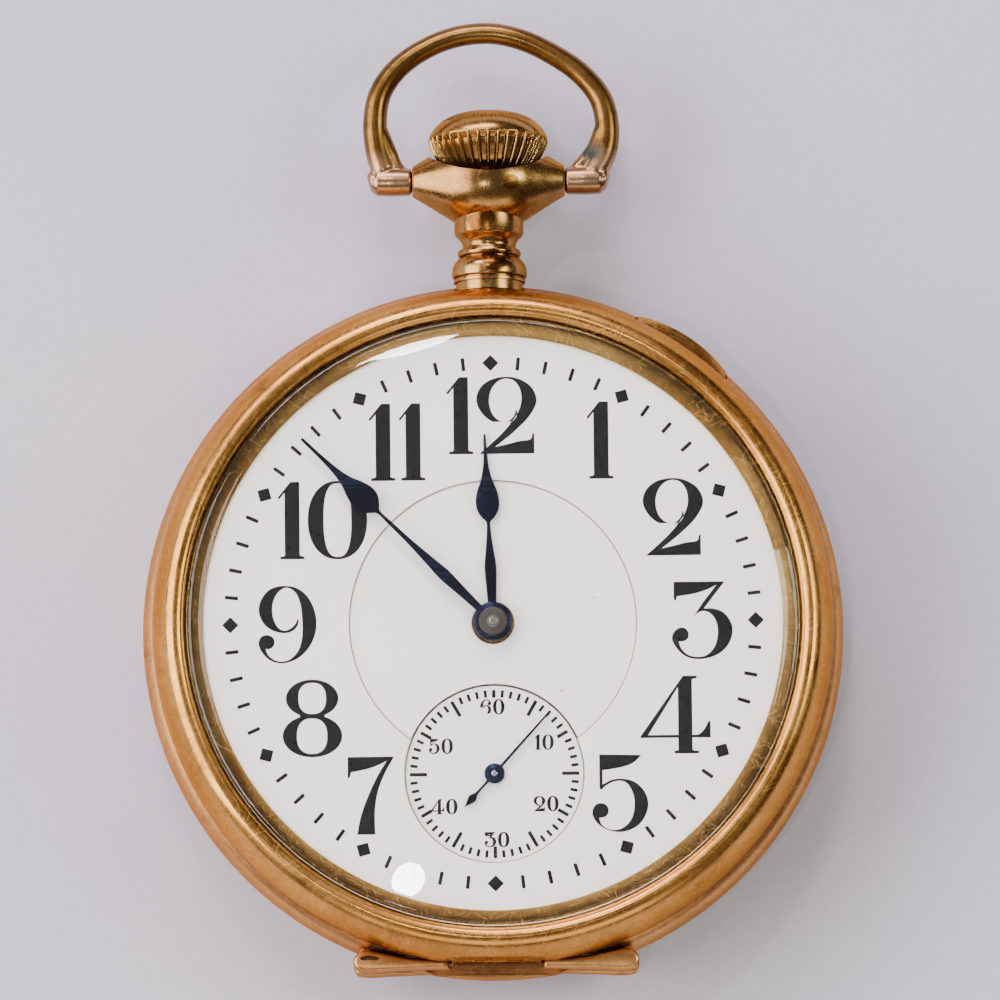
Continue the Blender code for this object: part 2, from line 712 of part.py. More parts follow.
def hand_outline(stations, hub, steps=16):
    """A hand pointing to +Y: (distance, half width) stations beyond a round hub."""
    start = math.asin(stations[0][1] / hub)
    sweep = [math.pi / 2 + start + (TAU - 2 * start) * k / steps for k in range(steps + 1)]
    points = [(hub * math.cos(a), hub * math.sin(a)) for a in sweep]
    points += [(w, y) for y, w in stations[1:] if w > 0]
    points += [(-w, y) for y, w in stations[:0:-1]]
    return points


def pear_hand(name, blued, level, hub, bore, angle, stations):
    bm = plate([hand_outline(stations, hub), circle(CENTRE, bore, 16)], *level)
    bm.transform(Matrix.Rotation(math.radians(angle), 4, "Z"))
    solid(name, bm, blued)


def hands(blued):
    """Pear hands. Stations are (distance from the centre, half width); angles are from 12 o'clock."""
    short = [(1.3, 0.28), (3.9, 0.40), (5.6, 0.22), (7.6, 0.16), (8.2, 0.55), (8.9, 0.85), (9.7, 0.62)]
    short += [(10.8, 0.28), (12.2, 0.16), (13.75, 0.0)]
    long = [(1.3, 0.30), (5.2, 0.42), (8.2, 0.26), (11.8, 0.18), (12.5, 0.6), (13.4, 0.97), (14.3, 0.7)]
    long += [(15.4, 0.34), (17.0, 0.18), (19.3, 0.0)]
    pear_hand("hour_hand", blued, HOUR_HAND_Z, 1.38, HOUR_PIPE + 0.02, 2.0, short)
    pear_hand("minute_hand", blued, MINUTE_HAND_Z, 1.40, CANNON_TOP + 0.03, 45.5, long)
    pointer = second_arm([(0.6, 0.12), (5.9, 0.0)], 0.72, -42)
    item = solid("second_hand", pointer, blued, (*FOURTH_AT, SECOND_HAND_Z[0]))
    add(item, second_arm([(0.6, 0.14), (1.6, 0.16), (2.3, 0.3), (2.65, 0.18), (2.7, 0.0)], 0.7, 138))


def second_arm(stations, hub, angle):
    bm = plate([hand_outline(stations, hub), circle(CENTRE, PIVOT + 0.02, 12)], *SECOND_HAND_Z)
    bm.transform(Matrix.Rotation(math.radians(angle), 4, "Z"))
    return put(bm, FOURTH_AT)


# Movement plates


def pivot_holes(item, places):
    for place in places:
        cut(item, rod(PIVOT + RUN_GAP, 0.0, BIG, 12, place))


def pillar_plate(nickel):
    profile = [
        (0.0, PLATE_LOW),
        (PLATE_RADIUS, PLATE_LOW),
        (PLATE_RADIUS, PLATE_FLOOR - 0.55),
        (PLATE_RADIUS - 0.8, PLATE_FLOOR - 0.55),
        (PLATE_RADIUS - 0.8, PLATE_HIGH),
        (DIAL_LEDGE, PLATE_HIGH),
        (DIAL_LEDGE, PLATE_FLOOR),
        (0.0, PLATE_FLOOR),
    ]
    item = solid("pillar_plate", turned(profile, PLATE_STEPS), nickel)
    cut(item, *[rod(BIG_ARBOR + RUN_GAP, 0.0, BIG, 12, place) for place in (CENTRE, BARREL_AT)])
    pivot_holes(item, [THIRD_AT, FOURTH_AT, ESCAPE_AT, PALLET_AT, BALANCE_AT])
    cut(item, box((-1.6, 1.6), (CLUTCH_Y[0] - 1.9, BIG), (0.0, STEM_Z + 1.6)))
    cut(item, winding_slot(0.2))
    cut(item, *[rod(SCREW_HOLE, 0.0, BIG, 8, place) for place in CASE_SCREWS_AT])
    feet = [(place, BRIDGE_HIGH) for place in (*PILLARS_AT, COCK_FOOT_AT)]
    for place, top in (*feet, (PALLET_FOOT_AT, PALLET_BRIDGE_Z[1])):
        add(item, rod(1.0, top + SEAT_GAP, PLATE_LOW + 0.3, 8, place))
        cut(item, rod(SCREW_HOLE, 0.0, PLATE_LOW + 0.6, 8, place))
    for place in (MINUTE_WHEEL_AT, SETTING_AT):
        add(item, rod(STUD, PLATE_FLOOR - 0.2, PLATE_HIGH - 0.1, 12, place))
    return item


def bridge_circle(chord_low, chord_high, steps=56):
    return [
        (x, min(max(y, chord_low), chord_high))
        for x, y in circle(CENTRE, BRIDGE_RADIUS, steps)
    ]


def clean(loop):
    """Drops the points that a clamped circle piles up along its chord."""
    kept = []
    for here, before, after in zip(loop, loop[-1:] + loop[:-1], loop[1:] + loop[:1]):
        flat = abs(here[1] - before[1]) < 1e-9 and abs(here[1] - after[1]) < 1e-9
        if not flat:
            kept.append(here)
    return kept


def winding_slot(slack, further=0.0):
    """Room round the winding pinion."""
    return box((-2.9, 2.9), (WINDING_PINION_Y[0] - slack, WINDING_PINION_Y[1] + slack + further), (0.0, BIG))


def bridges(nickel):
    upper_loop = clean(bridge_circle(BARREL_BRIDGE_CHORD, BIG))
    upper = solid("barrel_bridge", plate([upper_loop], BRIDGE_LOW, BRIDGE_HIGH), nickel)
    cut(upper, rod(BALANCE_RADIUS + 0.6, 0.0, BIG, 40, BALANCE_AT))
    cut(upper, rod(BIG_ARBOR + 0.12, 0.0, BIG, 16, BARREL_AT))
    cut(upper, winding_slot(0.9, 0.7))
    cut(upper, rod(4.0, 0.0, BRIDGE_LOW + 0.2, 28, CROWN_WHEEL_AT))
    for place in (*PILLARS_AT[:2], CROWN_WHEEL_AT, CLICK_AT):
        cut(upper, rod(SCREW_CLEAR, 0.0, BIG, 8, place))
    lower_loop = clean(bridge_circle(-BIG, TRAIN_BRIDGE_CHORD))
    lower = solid("train_bridge", plate([lower_loop], BRIDGE_LOW, BRIDGE_HIGH), nickel)
    cut(lower, rod(BALANCE_RADIUS + 0.5, 0.0, BIG, 40, BALANCE_AT))
    cut(lower, box((ESCAPE_AT[0] + 0.72, BIG), (-BIG, 5.0), (0.0, BIG)))
    pivot_holes(lower, [THIRD_AT, FOURTH_AT, ESCAPE_AT])
    cut(lower, rod(0.35, 0.0, BIG, 12))
    for place in PILLARS_AT[2:]:
        cut(lower, rod(SCREW_CLEAR, 0.0, BIG, 8, place))
    return upper, lower


def arm_outline(foot, tip, foot_half, tip_radius, behind, steps):
    """A cock's outline: square behind its foot, tapering to a round tip."""
    reach = facing(foot, tip)
    side = Vector((-math.sin(reach), math.cos(reach)))
    start = Vector(foot) - behind * Vector((math.cos(reach), math.sin(reach)))
    loop = [tuple(start + foot_half * side), tuple(start - foot_half * side)]
    for k in range(steps + 1):
        angle = reach - math.pi / 2 + math.pi * k / steps
        loop.append((tip[0] + tip_radius * math.cos(angle), tip[1] + tip_radius * math.sin(angle)))
    return loop


def balance_cock(nickel):
    """The cock reaches from its foot at the edge over the balance staff."""
    loop = arm_outline(COCK_FOOT_AT, BALANCE_AT, 1.8, 1.7, 1.5, 10)
    item = solid("balance_cock", plate([loop], *BALANCE_COCK_Z), nickel)
    add(item, plate([circle(COCK_FOOT_AT, 1.55, 20)], BALANCE_COCK_Z[0] + 0.35, BRIDGE_HIGH))
    cut(item, rod(SCREW_CLEAR, 0.0, BIG, 12, COCK_FOOT_AT))
    pivot_holes(item, [BALANCE_AT])
    return item


def pallet_bridge(nickel):
    loop = arm_outline(PALLET_FOOT_AT, PALLET_AT, 1.1, 0.8, 1.0, 8)
    item = solid("pallet_bridge", plate([loop], *PALLET_BRIDGE_Z), nickel)
    cut(item, rod(SCREW_CLEAR, 0.0, BIG, 8, PALLET_FOOT_AT))
    pivot_holes(item, [PALLET_AT])
    return item


def screw(name, place, steel, head_low, length, head=0.85, shank=SCREW_HOLE - 0.04):
    """A slotted screw whose head is on the back side of the movement."""
    neck = head_low + SCREW_HEAD
    profile = [
        (0.0, head_low),
        (head, head_low),
        (head, neck),
        (shank, neck),
        (shank, head_low + length),
        (0.0, head_low + length),
    ]
    bm = turned(profile, 9)
    bm.transform(Matrix.Translation((*place, 0.0)))
    item = solid(name, bm, steel, (*place, head_low))
    groove = box((-BIG, BIG), (-0.1, 0.1), (head_low - 1.0, head_low + SCREW_HEAD / 3))
    groove.transform(Matrix.Translation((*place, 0.0)) @ Matrix.Rotation(place[0] * 1.7, 4, "Z"))
    cut(item, groove)


def jewel(name, place, level, ruby, radius=0.75):
    ring = tube(PIVOT + RUN_GAP, radius, level, level + 0.3, 8)
    solid(name, put(ring, place), ruby, (*place, level))


# Wheels


def arbor(levels, place):
    """A turned shaft from (z, radius) steps, lowest first."""
    profile = [(0.0, levels[0][0])]
    for (z, radius), (next_z, _) in zip(levels, levels[1:]):
        profile += [(radius, z), (radius, next_z)]
    profile.append((0.0, levels[-1][0]))
    return put(turned(profile, 8), place)


def wheel_blank(teeth, module, phase, level, spokes, hub, bar=0.45, rim=0.75):
    pitch = teeth * module / 2
    inside = pitch - module - rim
    loops = [wheel_outline(teeth, module, phase)]
    if spokes:
        loops += spoke_holes(spokes, hub, inside, bar, phase)
    return plate(loops, *level)


def pinion(teeth, module, phase, level):
    return plate([gear_outline(teeth, module, phase, height=0.6, depth=1.05, tip=0.18)], *level)


def put(bm, place):
    bm.transform(Matrix.Translation((*place, 0.0)))
    return bm


def mesh_module(one, two, teeth):
    """The module at which wheels with this many teeth in all meet between two centres."""
    return math.hypot(one[0] - two[0], one[1] - two[1]) * 2 / teeth


def pivots(foot, hub, top=PIVOT_TOP_Z):
    """Steps of a shaft with a thick middle between its two pivots."""
    return [(foot, PIVOT), (BRIDGE_HIGH + 0.1, hub), (PLATE_LOW - 0.08, PIVOT), (top, PIVOT)]


def barrel(brass, steel, module):
    low, high = BARREL_Z
    bore = 0.95
    drum_radius = BARREL_TEETH * module / 2 - module - 0.15
    wall = 0.5
    floor = low + 0.35
    profile = [(bore, low), (drum_radius, low), (drum_radius, high), (drum_radius - wall, high)]
    profile += [(drum_radius - wall, floor), (bore, floor)]
    item = solid("mainspring_barrel", put(turned(profile, 40), BARREL_AT), brass, (*BARREL_AT, low))
    outline = wheel_outline(BARREL_TEETH, module, facing(BARREL_AT, CENTRE))
    ring = plate([outline, circle(CENTRE, drum_radius - 0.3, 40)], high - 0.45, high)
    add(item, put(ring, BARREL_AT))
    inner = drum_radius - wall - 0.12
    cover = tube(bore, inner, *BARREL_COVER_Z, 28)
    solid("barrel_cover", put(cover, BARREL_AT), brass, (*BARREL_AT, BARREL_COVER_Z[0]))
    hub = bore - 0.1
    foot = BRIDGE_LOW - 0.18
    steps = [(foot, 0.55), (BRIDGE_HIGH + 0.05, hub), (floor + 0.1, 1.6), (BARREL_COVER_Z[0] - 0.05, hub)]
    steps += [(high + 0.25, BIG_ARBOR), (7.9, BIG_ARBOR)]
    solid("barrel_arbor", arbor(steps, BARREL_AT), steel, (*BARREL_AT, foot))
    mainspring(steel, inner)


def centre_wheel(brass, barrel_module, module):
    phase = facing(CENTRE, THIRD_AT)
    blank = wheel_blank(CENTRE_TEETH, module, phase, CENTRE_WHEEL_Z, 4, 1.6)
    wheel = solid("centre_wheel", blank, brass, (*CENTRE, CENTRE_WHEEL_Z[0]))
    top = MINUTE_HAND_Z[1] + 0.43
    add(wheel, arbor([(ARBOR_FOOT_Z, 0.28), (4.5, BIG_ARBOR), (PLATE_FLOOR, 0.3), (top, 0.3)], CENTRE))
    leaves = gap_phase(CENTRE_PINION_TEETH, facing(CENTRE, BARREL_AT))
    add(wheel, pinion(CENTRE_PINION_TEETH, barrel_module, leaves, (BARREL_Z[0] + 0.12, BARREL_Z[1] + 0.1)))
    add(wheel, rod(0.9, BARREL_Z[1], CENTRE_WHEEL_Z[0] + 0.1, 16))


def train_wheel(name, brass, at, level, teeth, module, after, hub, shaft, leaves):
    """A wheel with its shaft and pinion.

    after is the wheel it drives; leaves is the pinion's (teeth, module, driver, level).
    """
    blank = wheel_blank(teeth, module, facing(at, after), level, 4, hub)
    wheel = solid(name, put(blank, at), brass, (*at, level[0]))
    add(wheel, arbor(shaft, at))
    count, leaf_module, driver, leaf_level = leaves
    phase = gap_phase(count, facing(at, driver))
    add(wheel, put(pinion(count, leaf_module, phase, leaf_level), at))


def going_train(brass, steel):
    barrel_module = mesh_module(BARREL_AT, CENTRE, BARREL_TEETH + CENTRE_PINION_TEETH)
    barrel(brass, steel, barrel_module)
    module = mesh_module(CENTRE, THIRD_AT, CENTRE_TEETH + PINION_TEETH)
    centre_wheel(brass, barrel_module, module)
    leaves = (PINION_TEETH, module, CENTRE, (CENTRE_WHEEL_Z[0] - 0.15, CENTRE_WHEEL_Z[1] + 0.18))
    module = mesh_module(THIRD_AT, FOURTH_AT, THIRD_TEETH + PINION_TEETH)
    shaft = pivots(ARBOR_FOOT_Z, 0.4)
    train_wheel(
        "third_wheel", brass, THIRD_AT, THIRD_WHEEL_Z, THIRD_TEETH, module, FOURTH_AT, 1.3, shaft, leaves
    )
    leaves = (PINION_TEETH, module, THIRD_AT, (THIRD_WHEEL_Z[0] - 0.15, THIRD_WHEEL_Z[1] + 0.15))
    module = mesh_module(FOURTH_AT, ESCAPE_AT, FOURTH_TEETH + ESCAPE_PINION_TEETH)
    shaft = pivots(ARBOR_FOOT_Z, 0.35, SECOND_HAND_Z[1] + 0.05)
    train_wheel(
        "fourth_wheel", brass, FOURTH_AT, FOURTH_WHEEL_Z, FOURTH_TEETH, module, ESCAPE_AT, 1.2, shaft, leaves
    )
    outline = plate([escape_outline(), *spoke_holes(4, 0.75, 2.35, 0.3, 0.2)], *ESCAPE_WHEEL_Z)
    wheel = solid("escape_wheel", put(outline, ESCAPE_AT), steel, (*ESCAPE_AT, ESCAPE_WHEEL_Z[0]))
    add(wheel, arbor(pivots(ARBOR_FOOT_Z, 0.3), ESCAPE_AT))
    phase = gap_phase(ESCAPE_PINION_TEETH, facing(ESCAPE_AT, FOURTH_AT))
    level = (FOURTH_WHEEL_Z[0] - 0.13, FOURTH_WHEEL_Z[1] + 0.14)
    add(wheel, put(pinion(ESCAPE_PINION_TEETH, module, phase, level), ESCAPE_AT))


def mainspring(steel, room):
    """A flat spiral strip from the arbor's hub to the barrel's wall."""
    turns = 7.0
    inner = 1.75
    outer = room - 0.08
    steps = 63
    half = 0.11
    sides = ([], [])
    for k in range(steps + 1):
        share = k / steps
        angle = TAU * turns * share
        radius = inner + half + (outer - inner - 2 * half) * share
        for side, points in zip((1, -1), sides):
            reach = radius + side * half
            points.append((reach * math.cos(angle), reach * math.sin(angle)))
    bm = plate([sides[0] + sides[1][::-1]], *MAINSPRING_Z)
    solid("mainspring", put(bm, BARREL_AT), steel, (*BARREL_AT, MAINSPRING_Z[0]))


def escape_outline():
    tip = 3.3
    root = 2.65
    points = []
    for k in range(ESCAPE_TEETH):
        start = TAU * k / ESCAPE_TEETH
        for radius, angle in ((root, 0.0), (tip, 0.16), (tip - 0.05, 0.23), (root, 0.12)):
            points.append((radius * math.cos(start + angle), radius * math.sin(start + angle)))
    return points


def pallet_fork(steel):
    """The lever: two pallet arms that span the escape wheel and a fork towards the balance."""
    low, high = PALLET_Z
    to_escape = facing(PALLET_AT, ESCAPE_AT)
    span = math.radians(66)
    item = solid("pallet_fork", put(rod(0.5, low, high, 16), PALLET_AT), steel, (*PALLET_AT, low))
    bars = [(to_escape - span, 1.85, 0.19), (to_escape + span, 1.85, 0.19)]
    bars.append((facing(PALLET_AT, BALANCE_AT), 2.85, 0.16))
    for angle, length, half in bars:
        arm = box((0.0, length), (-half, half), (low + 0.03, high - 0.03))
        arm.transform(Matrix.Rotation(angle, 4, "Z"))
        add(item, put(arm, PALLET_AT))
    shaft = [(PALLET_BRIDGE_Z[0] + 0.07, PIVOT), (PALLET_BRIDGE_Z[1] + 0.1, 0.22)]
    shaft += [(PLATE_LOW - 0.08, PIVOT), (PIVOT_TOP_Z - 0.2, PIVOT)]
    add(item, arbor(shaft, PALLET_AT))


def balance(brass, steel):
    low, high = BALANCE_Z
    start = 0.7
    holes = spoke_holes(2, 0.9, BALANCE_RADIUS - 0.8, 0.7, start, 10)
    rim = plate([circle(CENTRE, BALANCE_RADIUS, 32)] + holes, low, high)
    item = solid("balance_wheel", put(rim, BALANCE_AT), brass, (*BALANCE_AT, low))
    for k in range(BALANCE_SCREWS):
        stud = along_x(rod(0.28, BALANCE_RADIUS - 0.3, BALANCE_RADIUS + 0.22, 5))
        stud = moved(stud, 0.0, 0.0, (low + high) / 2)
        stud.transform(Matrix.Rotation(start + TAU * (k + 0.5) / BALANCE_SCREWS, 4, "Z"))
        add(item, put(stud, BALANCE_AT))
    staff = [(BALANCE_COCK_Z[0] + 0.05, PIVOT), (BALANCE_COCK_Z[1] + 0.05, 0.3), (PALLET_Z[0] - 0.3, 0.3)]
    staff += [(PLATE_LOW - 0.08, PIVOT), (PIVOT_TOP_Z - 0.2, PIVOT)]
    add(item, arbor(staff, BALANCE_AT))
    add(item, put(tube(0.25, 0.75, PALLET_Z[0] - 0.22, PALLET_Z[0] - 0.08, 12), BALANCE_AT))
    hairspring(steel)


def hairspring(steel):
    low, high = HAIRSPRING_Z
    turns, inner, outer, half = 5.0, 0.75, 3.5, 0.045
    steps = 44
    sides = ([], [])
    for k in range(steps + 1):
        angle = TAU * turns * k / steps
        radius = inner + (outer - inner) * k / steps
        for side, points in zip((half, -half), sides):
            points.append(((radius + side) * math.cos(angle), (radius + side) * math.sin(angle)))
    spring = plate([sides[0] + sides[1][::-1]], low, high)
    item = solid("hairspring", put(spring, BALANCE_AT), steel, (*BALANCE_AT, low))
    add(item, put(tube(0.33, inner + 0.03, low - 0.02, high + 0.02, 12), BALANCE_AT))


def regulator(steel):
    """A split ring about the balance jewel with a pointer."""
    ring = plate([circle(CENTRE, 1.25, 20), circle(CENTRE, 0.95, 20)], *REGULATOR_Z)
    item = solid("regulator", put(ring, BALANCE_AT), steel, (*BALANCE_AT, REGULATOR_Z[0]))
    arm = plate([[(-0.25, 1.0), (-0.08, 4.6), (0.08, 4.6), (0.25, 1.0)]], *REGULATOR_Z)
    arm.transform(Matrix.Rotation(math.radians(-62), 4, "Z"))
    add(item, put(arm, BALANCE_AT))


def keyless_work(steel):
    low, high = RATCHET_Z
    module = mesh_module(BARREL_AT, CROWN_WHEEL_AT, RATCHET_TEETH + CROWN_WHEEL_TEETH)
    bore = circle(CENTRE, 0.6, 12)
    loops = [wheel_outline(RATCHET_TEETH, module, facing(BARREL_AT, CROWN_WHEEL_AT)), bore]
    solid("ratchet_wheel", put(plate(loops, low, high), BARREL_AT), steel, (*BARREL_AT, low))
    phase = gap_phase(CROWN_WHEEL_TEETH, facing(CROWN_WHEEL_AT, BARREL_AT))
    loops = [wheel_outline(CROWN_WHEEL_TEETH, module, phase), bore]
    item = solid("crown_wheel", put(plate(loops, low, high), CROWN_WHEEL_AT), steel, (*CROWN_WHEEL_AT, low))
    face = plate([wheel_outline(CROWN_FACE_TEETH, 0.24, math.pi / 2), circle(CENTRE, 2.4, 20)], 3.05, 3.36)
    add(item, put(face, CROWN_WHEEL_AT))
    phase = gap_phase(WINDING_TEETH, math.pi / 2)
    teeth = plate([gear_outline(WINDING_TEETH, 0.3, phase), bore], *WINDING_PINION_Y)
    solid("winding_pinion", about_stem(teeth), steel, (0.0, WINDING_PINION_Y[0], STEM_Z))
    near, far = CLUTCH_Y
    castle = [(0.52, near), (1.45, near), (1.45, near + 0.4), (1.1, near + 0.4), (1.1, far - 0.7)]
    castle += [(1.45, far - 0.7), (1.45, far), (0.52, far)]
    solid("clutch_wheel", about_stem(turned(castle, 16)), steel, (0.0, near, STEM_Z))
    screw("ratchet_screw", BARREL_AT, steel, low - 0.45, 0.76, 1.1, 0.45)
    screw("crown_wheel_screw", CROWN_WHEEL_AT, steel, low - 0.45, 1.72, 1.1, 0.45)


def click_work(steel):
    """The click holds the ratchet wheel against the mainspring."""
    lever = [(-0.62, -0.3), (0.0, -0.7), (0.6, -0.35), (0.62, 0.3), (0.55, 1.2), (0.78, 2.2), (0.35, 2.0),
             (-0.1, 1.2), (-0.55, 0.5)]
    bm = put(plate([lever, circle(CENTRE, 0.3, 12)], *CLICK_Z), CLICK_AT)
    solid("click", bm, steel, (*CLICK_AT, CLICK_Z[0]))
    strip = [(-7.91, 1.41), (-7.81, 0.91), (-1.51, 1.16), (-0.71, 1.46), (-0.76, 1.58), (-1.61, 1.33)]
    bm = put(plate([strip], *CLICK_SPRING_Z), CLICK_AT)
    solid("click_spring", bm, steel, (*CLICK_AT, CLICK_SPRING_Z[0]))
    screw("click_screw", CLICK_AT, steel, CLICK_Z[0] - 0.48, 1.3, 0.6, 0.24)


def motion_work(brass, steel):
    """Cannon pinion, minute wheel and hour wheel turn the hands. The setting wheel sets them."""
    up = math.pi / 2
    module = mesh_module(CENTRE, MINUTE_WHEEL_AT, CANNON_TEETH + MINUTE_TEETH)
    outline = gear_outline(CANNON_TEETH, module, gap_phase(CANNON_TEETH, up), 0.6, 1.0, 0.18)
    item = solid("cannon_pinion", plate([outline], *CANNON_Z), steel, (*CENTRE, CANNON_Z[0]))
    add(item, rod(CANNON_PIPE, CANNON_Z[1] - 0.12, MINUTE_HAND_Z[0] - 0.02, 16))
    add(item, rod(CANNON_TOP, MINUTE_HAND_Z[0] - 0.12, MINUTE_HAND_Z[1] + 0.23, 16))
    cut(item, rod(0.33, 0.0, BIG, 12))
    wheel = plate([wheel_outline(MINUTE_TEETH, module, up)], *MINUTE_WHEEL_Z)
    item = solid("minute_wheel", put(wheel, MINUTE_WHEEL_AT), brass, (*MINUTE_WHEEL_AT, MINUTE_WHEEL_Z[0]))
    hour_module = mesh_module(CENTRE, MINUTE_WHEEL_AT, MINUTE_PINION_TEETH + HOUR_TEETH)
    phase = gap_phase(MINUTE_PINION_TEETH, -up)
    level = (MINUTE_WHEEL_Z[1] - 0.07, HOUR_WHEEL_Z[1] + 0.03)
    add(item, put(pinion(MINUTE_PINION_TEETH, hour_module, phase, level), MINUTE_WHEEL_AT))
    cut(item, rod(STUD + RUN_GAP, 0.0, BIG, 12, MINUTE_WHEEL_AT))
    hour = plate([wheel_outline(HOUR_TEETH, hour_module, up)], *HOUR_WHEEL_Z)
    item = solid("hour_wheel", hour, brass, (*CENTRE, HOUR_WHEEL_Z[0]))
    add(item, rod(1.2, HOUR_WHEEL_Z[0] + 0.08, HOUR_HAND_Z[0] - 0.05, 20))
    add(item, rod(HOUR_PIPE, HOUR_HAND_Z[0] - 0.2, HOUR_HAND_Z[1] + 0.15, 20))
    cut(item, rod(CANNON_PIPE + 0.04, 0.0, BIG, 20))
    outline = wheel_outline(MINUTE_TEETH, module, gap_phase(MINUTE_TEETH, -up))
    setting = plate([outline, circle(CENTRE, STUD + RUN_GAP, 12)], *MINUTE_WHEEL_Z)
    solid("setting_wheel", put(setting, SETTING_AT), steel, (*SETTING_AT, MINUTE_WHEEL_Z[0]))


def fasteners(steel):
    """Screws, each with its head just clear of what it holds."""
    under = SCREW_HEAD + 0.06
    bridge_screws = ("barrel_bridge_screw_left", "barrel_bridge_screw_right")
    bridge_screws += ("train_bridge_screw_low", "train_bridge_screw_left")
    for name, place in zip(bridge_screws, PILLARS_AT):
        screw(name, place, steel, BRIDGE_LOW - under, 2.6)
    screw("balance_cock_screw", COCK_FOOT_AT, steel, BALANCE_COCK_Z[0] - under, 2.6)
    screw("pallet_bridge_screw", PALLET_FOOT_AT, steel, PALLET_BRIDGE_Z[0] - under, 1.6, 0.8)
    for name, place in zip(("case_screw_left", "case_screw_right"), CASE_SCREWS_AT):
        screw(name, place, steel, PLATE_LOW - under, 1.3, 1.0)


def jewels(ruby):
    under = 0.35
    for name, place in (("third_jewel", THIRD_AT), ("fourth_jewel", FOURTH_AT), ("escape_jewel", ESCAPE_AT)):
        jewel(name, place, BRIDGE_LOW - under, ruby)
    jewel("balance_jewel", BALANCE_AT, BALANCE_COCK_Z[0] - under, ruby, 0.6)


def main():
    clear_scene()
    gold = metal("worn_yellow_gold_fill", (0.72, 0.46, 0.20), 0.30)
    glass = metal("mineral_crystal", (0.92, 0.94, 0.94), 0.04, 0.0)
    enamel = metal("white_enamel", (0.80, 0.78, 0.75), 0.12, 0.0)
    blued = metal("blued_steel", (0.02, 0.025, 0.06), 0.25)
    nickel = metal("damaskeened_nickel", (0.62, 0.60, 0.56), 0.28)
    brass = metal("gilt_brass", (0.70, 0.50, 0.24), 0.28)
    steel = metal("polished_steel", (0.50, 0.50, 0.52), 0.22)
    ruby = metal("ruby_jewel", (0.55, 0.03, 0.10), 0.10, 0.0)
    case_centre(gold)
    hinge_pins(steel)
    bezel(gold)
    crystal(glass)
    back_cover(gold)
    pendant(gold)
    pendant_sleeve(steel)
    crown(gold)
    winding_stem(steel)
    bow(gold)
    dial(enamel)
    hands(blued)
    pillar_plate(nickel)
    bridges(nickel)
    balance_cock(nickel)
    pallet_bridge(nickel)
    going_train(brass, steel)
    pallet_fork(steel)
    balance(brass, steel)
    regulator(steel)
    keyless_work(steel)
    click_work(steel)
    motion_work(brass, steel)
    fasteners(steel)
    jewels(ruby)


main()
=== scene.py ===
"""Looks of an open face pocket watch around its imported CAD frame.

Lengths are in millimetres in every maker below and become metres when an object is made.
Z = 0 is the flat of the back, +Y points to 12 o'clock, +X to 3 o'clock.
"""
import json
import math

import bmesh
import bpy
from mathutils import Matrix, Vector


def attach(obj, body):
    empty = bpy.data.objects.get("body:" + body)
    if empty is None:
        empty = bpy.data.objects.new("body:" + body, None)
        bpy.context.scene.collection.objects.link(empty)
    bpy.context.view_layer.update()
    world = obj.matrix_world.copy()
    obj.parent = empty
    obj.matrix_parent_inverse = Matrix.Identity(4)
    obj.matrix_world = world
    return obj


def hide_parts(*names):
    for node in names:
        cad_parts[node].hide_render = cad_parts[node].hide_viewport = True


MM = 0.001
TAU = 2 * math.pi
UP = math.pi / 2

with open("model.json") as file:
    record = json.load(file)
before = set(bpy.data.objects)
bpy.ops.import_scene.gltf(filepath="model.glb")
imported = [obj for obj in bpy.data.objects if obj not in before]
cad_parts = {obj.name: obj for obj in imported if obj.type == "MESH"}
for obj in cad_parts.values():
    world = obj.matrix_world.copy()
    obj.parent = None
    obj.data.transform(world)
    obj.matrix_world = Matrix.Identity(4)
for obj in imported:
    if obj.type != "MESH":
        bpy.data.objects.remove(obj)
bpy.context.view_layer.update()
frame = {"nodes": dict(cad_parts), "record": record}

# Heights and radii shared with the CAD
CASE_R = 25.5
BEZEL_Z = 7.0
BACK_Z = 3.4
HINGE_Y = -24.5
HINGE_HALF = 10.35
CENTRE_HALF = 3.3
HINGE_TUBE = 0.42
HINGE_PIN = 0.22
STEM_Z = 6.0
PIVOT_Y = 33.15
HEAD_HALF = 5.57
DIAL_TOP = 10.0
DIAL_LOW = 9.25
SINK = 0.15
FOURTH = (0.0, -11.0)
PRINT = 0.012

# Sizes that several pieces here share
PIN_BORE = HINGE_PIN + 0.025
NOTCH_HALF = HINGE_HALF + 0.3
NOTCH_DEEP = HINGE_TUBE + 0.12
RIM_STEPS = 288
SINK_R = 10.42
SECONDS_R = 6.52
FIGURE_SIZE = 5.66
SMALL_FIGURE_SIZE = 1.07
TRACK_R = 19.0
SECONDS_TRACK_R = 6.08
STRIPE = 1.55
# A place well outside the watch, where cuts may end
FAR = 60

# Curves and outlines

